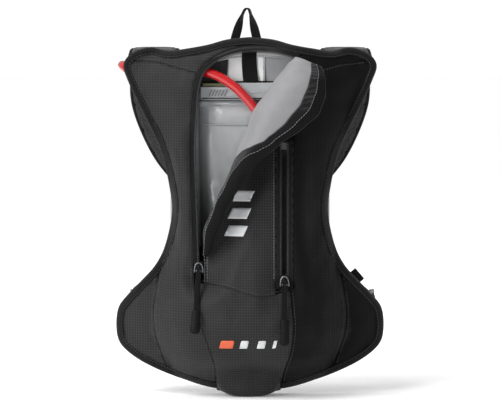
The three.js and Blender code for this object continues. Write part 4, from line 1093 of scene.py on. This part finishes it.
room = np.array([(-27, 124), (POCKET_RIGHT, 124), (POCKET_RIGHT, 256), (11, 256), (-27, 184)], float)
room_edge = resample(np.vstack([room, room[:1]]), step=4)
room_plan, room_faces = plan_of([room_edge[:-1]], [], 4)
pouch = outer_face(*room_plan.T) + 3.4 + 9.5 * (1 - np.exp(-near(room_edge, *room_plan.T)[0] / 5))
pouch += 0.7 * waves(*room_plan.T, 31, 18)
# The pocket's bag is lining fabric, given the darker copy of it: painted shade inside the pocket.
thick_sheet("pocket_bag_cloth", room_plan, room_faces, pouch - 0.8, pouch, "lining_painted_shade", slot="lining_fabric",
            replaces="pocket_bag")


def pull(prefix, slider_x, slider_y, slider_h, lean, cord_length, grip_length, body):
    top = np.array([slider_x, slider_y - 8.4, slider_h - 4.0])
    reach = cord_length + grip_length
    parts = np.array([0.4, 0.6, 0.8, 1.0])
    rest = outer_face(np.full(4, top[0]), slider_h - reach * parts) - 4.6
    out = max(0.0, float(np.arctan2(top[1] - rest, reach * parts).max()))
    way = np.array([-math.cos(out) * math.sin(lean), -math.sin(out), -math.cos(out) * math.cos(lean)])
    side = np.array([math.cos(lean), 0, -math.sin(lean)])
    line = top + np.linspace(1.2, -cord_length - 2.5, 40)[:, None] * -way
    strands = np.array([(2.35 * math.cos(a) + (0.55 if math.cos(a) > 0 else -0.55), 1.25 * math.sin(a))
                        for a in np.linspace(0, TAU, 25)[:-1]])
    strands[:, 1] *= 1 - 0.5 * np.exp(-((strands[:, 0] / 0.7) ** 2))
    cord = sweep(prefix + "_pull_cord_braid", line, strands, [side], "cord_weave", slot="webbing", body=body,
                 replaces=prefix + "_pull_cord")
    rows = [(0.0, 2.8), (0.8, 4.0), (2.2, 4.6), (grip_length * 0.5, 4.9), (grip_length - 4, 5.2),
            (grip_length - 2, 4.8), (grip_length - 0.8, 3.6), (grip_length, 1.8)]
    at = np.linspace(0, grip_length, 34)
    wide = np.interp(at, *np.array(rows).T)
    wide = wide - 0.3 * (np.sin((at - 6) * TAU / 3.2) > 0.3) * (at > 7) * (at < grip_length - 6)
    turn = circle(1.0, 20)
    section = wide[:, None, None] * turn * [1, 0.5]
    axis = top + (cord_length + 0.35 + at)[:, None] * way
    grip = sweep(prefix + "_pull_grip_rubber", axis, section, [side], "soft_grip", body=body,
                 replaces=prefix + "_pull_grip")
    bar = top + np.linspace(-2.9, 2.9, 9)[:, None] * side
    sweep(prefix + "_pull_ring", bar, circle(1.0, 10), [(0, 1, 0)], "nickel", body=body)
    hoop = [(-4.4, 0.6, -1.6), (-4.3, 0.8, 2.4), (-3.2, 1.5, 6.2), (-1.2, 1.8, 8.2), (1.2, 1.8, 8.2), (3.2, 1.5, 6.2),
            (4.3, 0.8, 2.4), (4.4, 0.6, -1.6)]
    hoop = np.array([top + side * a + np.array([0, b, c]) for a, b, c in hoop])
    sweep(prefix + "_slider_bail", curve(hoop, 60), circle(0.7, 10), [(0, 1, 0)], "nickel", body=prefix + "_runner",
          slot="zinc")


pull("main_zip", TRACK_LOW[0] + COIL_LINE, TRACK_LOW[1] + 0.8, TRACK_LOW[2] + 1, 0.06, 42, 26, "main_zip_pull")
pull("pocket_zip", SLIT_LOW[0], SLIT_LOW[1] - 0.4, SLIT_LOW[2] + 1, 0, 36, 27, "pocket_zip_pull")

# ---- folded corner of the front
fold = FOLD_END - FOLD_TOP
FLAP_WRINKLE = 0.9
FLAP_START, FLAP_END = 7, np.linalg.norm(fold) - 5
fold = normalised(fold)
flap_side = np.array([-fold[2], 0, fold[0]]) / math.hypot(fold[2], fold[0])
flap_out = np.cross(fold, flap_side)
flap_right = profile([(0, 20), (18, 34), (36, 41), (55, 42), (75, 33), (100, 18), (130, 3), (175, -4), (228, -1),
                      (245, 0)])
flap_roll = profile([(0, 1.6), (20, 8), (45, 16), (78, 21), (95, 18.5), (118, 17), (135, 14.5), (165, 14.5), (208, 14),
                     (234, 4)])
flap_height = profile([(0, 15), (25, 36), (60, 50), (100, 52), (150, 40), (200, 20), (234, 4)])
flap_band = profile([(0, 0.15), (60, 0.125), (80, 0.11), (92, 0.115), (104, 0.14), (115, 0.23), (124, 0.38),
                     (134, 0.56), (146, 0.66), (234, 0.68)])  # the dark edge's part of the way round the roll


def flap_point(t, v):
    right, roll, out = flap_right(t), flap_roll(t), flap_height(t)
    a, b, c, d = (1 - v) ** 3, 3 * (1 - v) ** 2 * v, 3 * (1 - v) * v**2, v**3
    side = b * -1.5 * roll + c * -1.1 * roll + d * right
    rise = a * 0.6 + b * 0.25 * out + c * 1.25 * out + d * out
    return FOLD_TOP + t[..., None] * fold + side[..., None] * flap_side + rise[..., None] * flap_out


def flap_share(t, part):
    """How far round the roll it is to a part of the dark edge, 1 at its inner side and 0 at the cloth's end."""
    return 1 - part * flap_band(t)


def flap_normal(t, v):
    along = flap_point(t + 1, v) - flap_point(t - 1, v)
    across = flap_point(t, v + 0.01) - flap_point(t, v - 0.01)
    return normalised(np.cross(along, across))


def flap_span(t, v):
    return v * np.maximum(12, flap_height(t) * 1.6)


def flap_crease(t, v):
    span = flap_span(t, v)
    return (waves(t, span * 1.6, 41, 34) * 0.8 + 0.35 * waves(t, span, 42, 13)) * smooth(v, 0.05, 0.3)


def flap_rides(obj):
    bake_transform(obj)
    return obj


def flap_patch(name, low_v, high_v, front, back, material, rows=110, columns=36, **more):
    """Sheet over part of the roll, between two offsets along its normal."""
    t = np.linspace(FLAP_START, FLAP_END, rows)[:, None] * np.ones(columns)
    v = low_v(t[:, :1]) + (high_v(t[:, :1]) - low_v(t[:, :1])) * np.linspace(0, 1, columns)
    base, normal = flap_point(t, v), flap_normal(t, v)
    crease = FLAP_WRINKLE * flap_crease(t, v)
    points, faces = grid_sheet(base + normal * (front + crease)[..., None],
                               base + normal * (back + crease)[..., None])
    flat = np.stack([flap_span(t, v), t, np.zeros_like(t)], axis=-1).reshape(-1, 3)
    return flap_rides(mesh_piece(name, points, faces, material, body=None, lay=np.vstack([flat, flat]), **more))


zero = np.zeros_like
flap_lining = flap_patch("flap_lining_sheet", lambda t: zero(t) + 0.09, lambda t: flap_share(t, 0.9), 0.85, 1.55,
                         "flap_lining", replaces="flap_panel")
flap_patch("flap_outer_cloth", zero, lambda t: flap_share(t, 0.1), 0.0, 0.75, "ripstop")
flap_patch("flap_zip_tape", lambda t: flap_share(t, 1.0), lambda t: flap_share(t, 0.4), 1.0, 1.9, "zip_tape",
           columns=16, replaces="flap_zip_half")
flap_patch("flap_zip_placket", lambda t: flap_share(t, 0.5), lambda t: flap_share(t, 0.0), 1.9, 2.8,
           "ripstop_shade", columns=16)


def on_flap(t, v, lift):
    return flap_point(t, v) + flap_normal(t, v) * (lift + FLAP_WRINKLE * flap_crease(t, v))[..., None]


t = np.linspace(FLAP_START, FLAP_END, 400)
teeth_line = resample(flap_point(t, flap_share(t, 0.02)), step=1.75)
t_teeth = np.interp(np.linspace(0, 1, len(teeth_line)), np.linspace(0, 1, len(t)), t)
teeth_normal = flap_normal(t_teeth, flap_share(t_teeth, 0.1))
teeth_step = np.gradient(teeth_line, axis=0)
flap_rides(boxes("flap_zip_teeth", teeth_line + teeth_normal * 1.2,
                 [(np.cross(s, n), n) for s, n in zip(teeth_step, teeth_normal)], (2.5, 1.15, 1.7), "teeth", body=None))
t = np.linspace(FLAP_START + 1, FLAP_END - 1, 150)
for name, part, tone in (("inner", 0.94, "thread"), ("outer", 0.47, "thread_light")):
    row = on_flap(t, flap_share(t, part), 2.95 if name == "outer" else 2.0)
    centres = resample(row, step=3.4)
    steps = np.gradient(centres, axis=0)
    flap_rides(boxes(f"flap_stitch_{name}", centres, [(s, (0, -1, 0.2)) for s in steps], (2.4, 0.5, 0.45), tone,
                     body=None))

# ---- harness
BUCKLE_Y, BUCKLE_H = 97, 150
ARMS = {"upper": ((0.93, 0, -0.36), (0.36, 0, 0.93), (27, 20)), "lower": ((0.32, 0, 0.95), (0.95, 0, -0.32), (37, -9))}


def sided(side, vector):
    return np.array(vector, float) * [side, 1, 1]


def placed(centre, across, along, outward):
    """Function from (across, along, out) to a point, in a frame set at a place of the harness."""
    x = normalised(np.array(across, float))
    y = np.array(along, float)
    y = normalised(y - x * (y @ x))
    z = np.cross(x, y)
    if z @ np.array(outward, float) < 0:
        x, z = -x, -z
    return lambda u, v, w=0.0: np.array(centre, float) + x * w + y * u + z * v


def webbing_path(lock, arm, between):
    return [lock(15, 6.8), lock(10, 6.8), lock(4, 5), lock(-2.6, 3.7), lock(-5.4, 0), lock(-8.2, -3.8),
            lock(-15, -3.4), *between, arm(12, -3.4), arm(5, -3.6), arm(1, -2.4), arm(0.8, 0), arm(1, 2.4),
            arm(5, 3.6), arm(14, 3.6)]


def tab_path(lock, reach):
    return [lock(reach, -3), lock(9, -3.6), lock(5.4, -2.4), lock(5, 0), lock(5.4, 2.4), lock(9, 3.6), lock(reach, 3)]


STRAP_PATH = [(104, 5.6, 339), (104, 6.8, 349), (102, 14, 357), (101, 27, 358.6), (101.5, 42, 348), (102.5, 56, 328),
              (101, 67, 303), (82, 81, 256), (63, 88, 230), (53.5, 90.5, 217)]
for side, name in ((-1, "left"), (1, "right")):
    line = curve([sided(side, p) for p in STRAP_PATH], 130)
    reach = np.linspace(0, 1, len(line))
    width = 49 + 3 * np.sin(reach * math.pi) - 15 * smooth(reach, 0.86, 1.0)
    u = np.cos(np.linspace(0, math.pi, 17))
    quilt = np.abs(np.sin(np.arange(len(line)) * math.pi / 16)) ** 0.35
    top = 1.7 + 2.6 * (1 - np.abs(u) ** 5)[None, :] * (0.55 + 0.45 * quilt)[:, None]
    ring_u = np.concatenate([u, u[::-1][1:-1]])
    ring_v = np.concatenate([top, -top[:, ::-1][:, 1:-1]], axis=1)
    section = np.stack([width[:, None] / 2 * ring_u[None, :], ring_v], axis=-1)
    padded = sweep(f"shoulder_strap_{name}_foam", line, section, [(1, 0, 0)], "back_mesh",
                   replaces=f"shoulder_strap_{name}")
    _, across, normal = frames(line, [(1, 0, 0)])
    for edge, way in (("inner", -1), ("outer", 1)):
        rim = line + across * (width / 2 - 1.2)[:, None] * way
        shape = np.array([(-2.9, 0), (-2.4, 2.5), (0.4, 2.7), (1.9, 1.6), (2.3, 0), (1.9, -1.6), (0.4, -2.7),
                          (-2.4, -2.5)]) * [way, 1]
        sweep(f"shoulder_strap_{name}_{edge}_binding", rim, shape, [(1, 0, 0)], "binding_tape")
    stitch_rows = [line + across * (width / 2 - 5.2)[:, None] * way + normal * 3.6 * face for way in (-1, 1)
            for face in (-1, 1)]
    stitches(f"shoulder_strap_{name}_stitch", stitch_rows, "thread", up=(0, 0.3, 1))
    upper = placed((side * 46, 94.5, 201), sided(side, ARMS["upper"][0]), sided(side, (0.36, -0.12, 0.92)), (0, 1, 0))
    out = 0 if side < 0 else 5
    lower_lock = placed((side * (124 + out), 28 + out * 0.6, 88), (0, 0, side), sided(side, (-0.25, -0.97, 0)),
                        (side, 0, 0))
    arms = {}
    for arm, (across_arm, along_arm, centre) in ARMS.items():
        arms[arm] = placed((side * centre[0], BUCKLE_Y, BUCKLE_H + centre[1]), sided(side, across_arm),
                           sided(side, along_arm), (0, 1, 0))
    around = [sided(side, p) for p in ((126, 56, 92), (112, 76, 102), (88, 92, 118), (62, 98, 132))]
    paths = {"upper": (webbing_path(upper, arms["upper"], []), [sided(side, ARMS["upper"][0])], upper),
             "lower": (webbing_path(lower_lock, arms["lower"], around), [(0, 0, 1), sided(side, ARMS["lower"][0])],
                       lower_lock)}
    for which, (path, hints, lock) in paths.items():
        node = f"webbing_{which}_{name}"
        if side > 0:
            web = strap(node + "_weave", path, 18, 1.7, hints, steps=150, body=None, replaces=node)
            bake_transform(web)
        else:
            strap(node + "_weave", path, 18, 1.7, hints, steps=150, replaces=node)
    across_upper = upper(0, 0, 1) - upper(0, 0, 0)
    across_lower = lower_lock(0, 0, 1) - lower_lock(0, 0, 0)
    strap(f"strap_tab_{name}_weave", tab_path(upper, 15), 18, 1.7, [across_upper], steps=70,
          replaces=f"strap_tab_{name}")
    strap(f"hip_tab_{name}_weave", tab_path(lower_lock, 19), 18, 1.7, [across_lower], steps=70,
          replaces=f"hip_tab_{name}")

loop_way = np.array([math.cos(0.86), 0, -math.sin(0.86)])
loop_centre = np.array([112.5, 5, 119.0])
out_y = np.array([0, 1.0, 0])
strap("hip_loop_right_weave", [loop_centre - loop_way * 7 + out_y, loop_centre + out_y * 1.1,
                               loop_centre + loop_way * 6 + out_y * 0.9, loop_centre + loop_way * 7.1,
                               loop_centre + loop_way * 6 - out_y * 0.9, loop_centre - out_y * 1.1,
                               loop_centre - loop_way * 7 - out_y],
      11, 1.5, [(math.sin(0.86), 0, math.cos(0.86))], steps=60, replaces="hip_loop_right")
strap("grab_loop_weave", [(-17.5, -4.4, 352), (-16.4, -4.4, 368), (-12.8, -4.4, 382), (-8.4, -4.4, 396),
                          (-4.6, -4.4, 403), (-1.6, -4.4, 403), (1.6, -4.4, 394), (5.2, -4.4, 380),
                          (8.2, -4.4, 366), (9.4, -4.4, 352)], 9.6, 1.8,
      [(1, 0, 0), (1, 0, 0), (0.9, 0.3, 0), (0.25, 1, 0), (0.25, 1, 0), (0.9, 0.3, 0), (1, 0, 0), (1, 0, 0)],
      steps=120, replaces="grab_loop")


# ---- plain printed marks
def printed(name, shape, material):
    slab(name, [ring_of(shape, 2)], lambda x, h: skin(x, h) - 0.22, lambda x, h: skin(x, h) + 0.1, material, 2.4)


def slanted(x, h, width, height, lean):
    return np.array([(x, h), (x + width, h), (x + width + lean, h + height), (x + lean, h + height)], float)


for i, h in enumerate((166, 184, 202)):
    printed(f"print_bar_{i}", slanted(-27 + i * 3.5, h, 20, 11, 5), "print_white")
for i, (x, width, tone) in enumerate(((-32, 14, "print_orange"), (-11, 8, "print_white"), (7, 8, "print_white"),
                                      (23, 3.5, "print_white"))):
    printed(f"print_mark_{i}", slanted(x, 50, width, 8.5, 2), tone)

# ---- floor and light
FLOOR_REACH = 30
floor_z = -(ORIGIN_HEIGHT + BELLY_DROP + 0.4) / 1000
corners = [(-FLOOR_REACH, -FLOOR_REACH), (FLOOR_REACH, -FLOOR_REACH), (FLOOR_REACH, FLOOR_REACH),
           (-FLOOR_REACH, FLOOR_REACH)]
floor = bpy.data.meshes.new("floor")
floor.from_pydata([(*corner, floor_z) for corner in corners], [], [(0, 1, 2, 3)])
paper = Material("paper", Roughness=0.9, Specular_IOR_Level=0.1, Emission_Color=(1, 1, 1, 1), Emission_Strength=0.14)
paper_vector, _ = paper.place()
paper.link("Base Color", paper.mix(paper.noise(paper_vector, 0.004), (0.93, 0.93, 0.93, 1), (0.96, 0.96, 0.96, 1)))
floor.materials.append(paper.made)
floor_object = add_object("floor", floor)

AMBIENT, BACKDROP = 0.36, 1.05
world = bpy.data.worlds.new("world")
world.use_nodes = True
nodes, links = world.node_tree.nodes, world.node_tree.links
ambient, backdrop = nodes["Background"], nodes.new("ShaderNodeBackground")
for node, strength in ((ambient, AMBIENT), (backdrop, BACKDROP)):
    node.inputs["Color"].default_value = (1, 1, 1, 1)
    node.inputs["Strength"].default_value = strength
choose = nodes.new("ShaderNodeMixShader")
sources = (nodes.new("ShaderNodeLightPath").outputs["Is Camera Ray"], ambient.outputs[0], backdrop.outputs[0])
for source, socket in zip(sources, choose.inputs):
    links.new(source, socket)
links.new(choose.outputs[0], nodes["World Output"].inputs[0])
bpy.context.scene.world = world
bpy.context.scene.view_settings.view_transform = "Standard"

sun = add_object("sun", bpy.data.lights.new("sun", "SUN"))
sun.data.energy = 2.3
sun.data.angle = math.radians(35)
aim(sun, (-1.9, -1.4, 2.9), (0, 0, 0))
LIGHTS = [("key", (-1.3, -1.8, 0.9), 0.8, 20), ("fill", (1.5, -1.3, 0.5), 1.4, 0.6), ("top", (-0.3, 0.3, 1.6), 0.9, 8),
          ("back", (0.9, 1.6, 1.0), 1.4, 9)]
for name, at, size, power in LIGHTS:
    light = add_object(name, bpy.data.lights.new(name, "AREA"))
    light.data.size = size
    light.data.energy = power
    aim(light, at, (0, 0, 0.1))
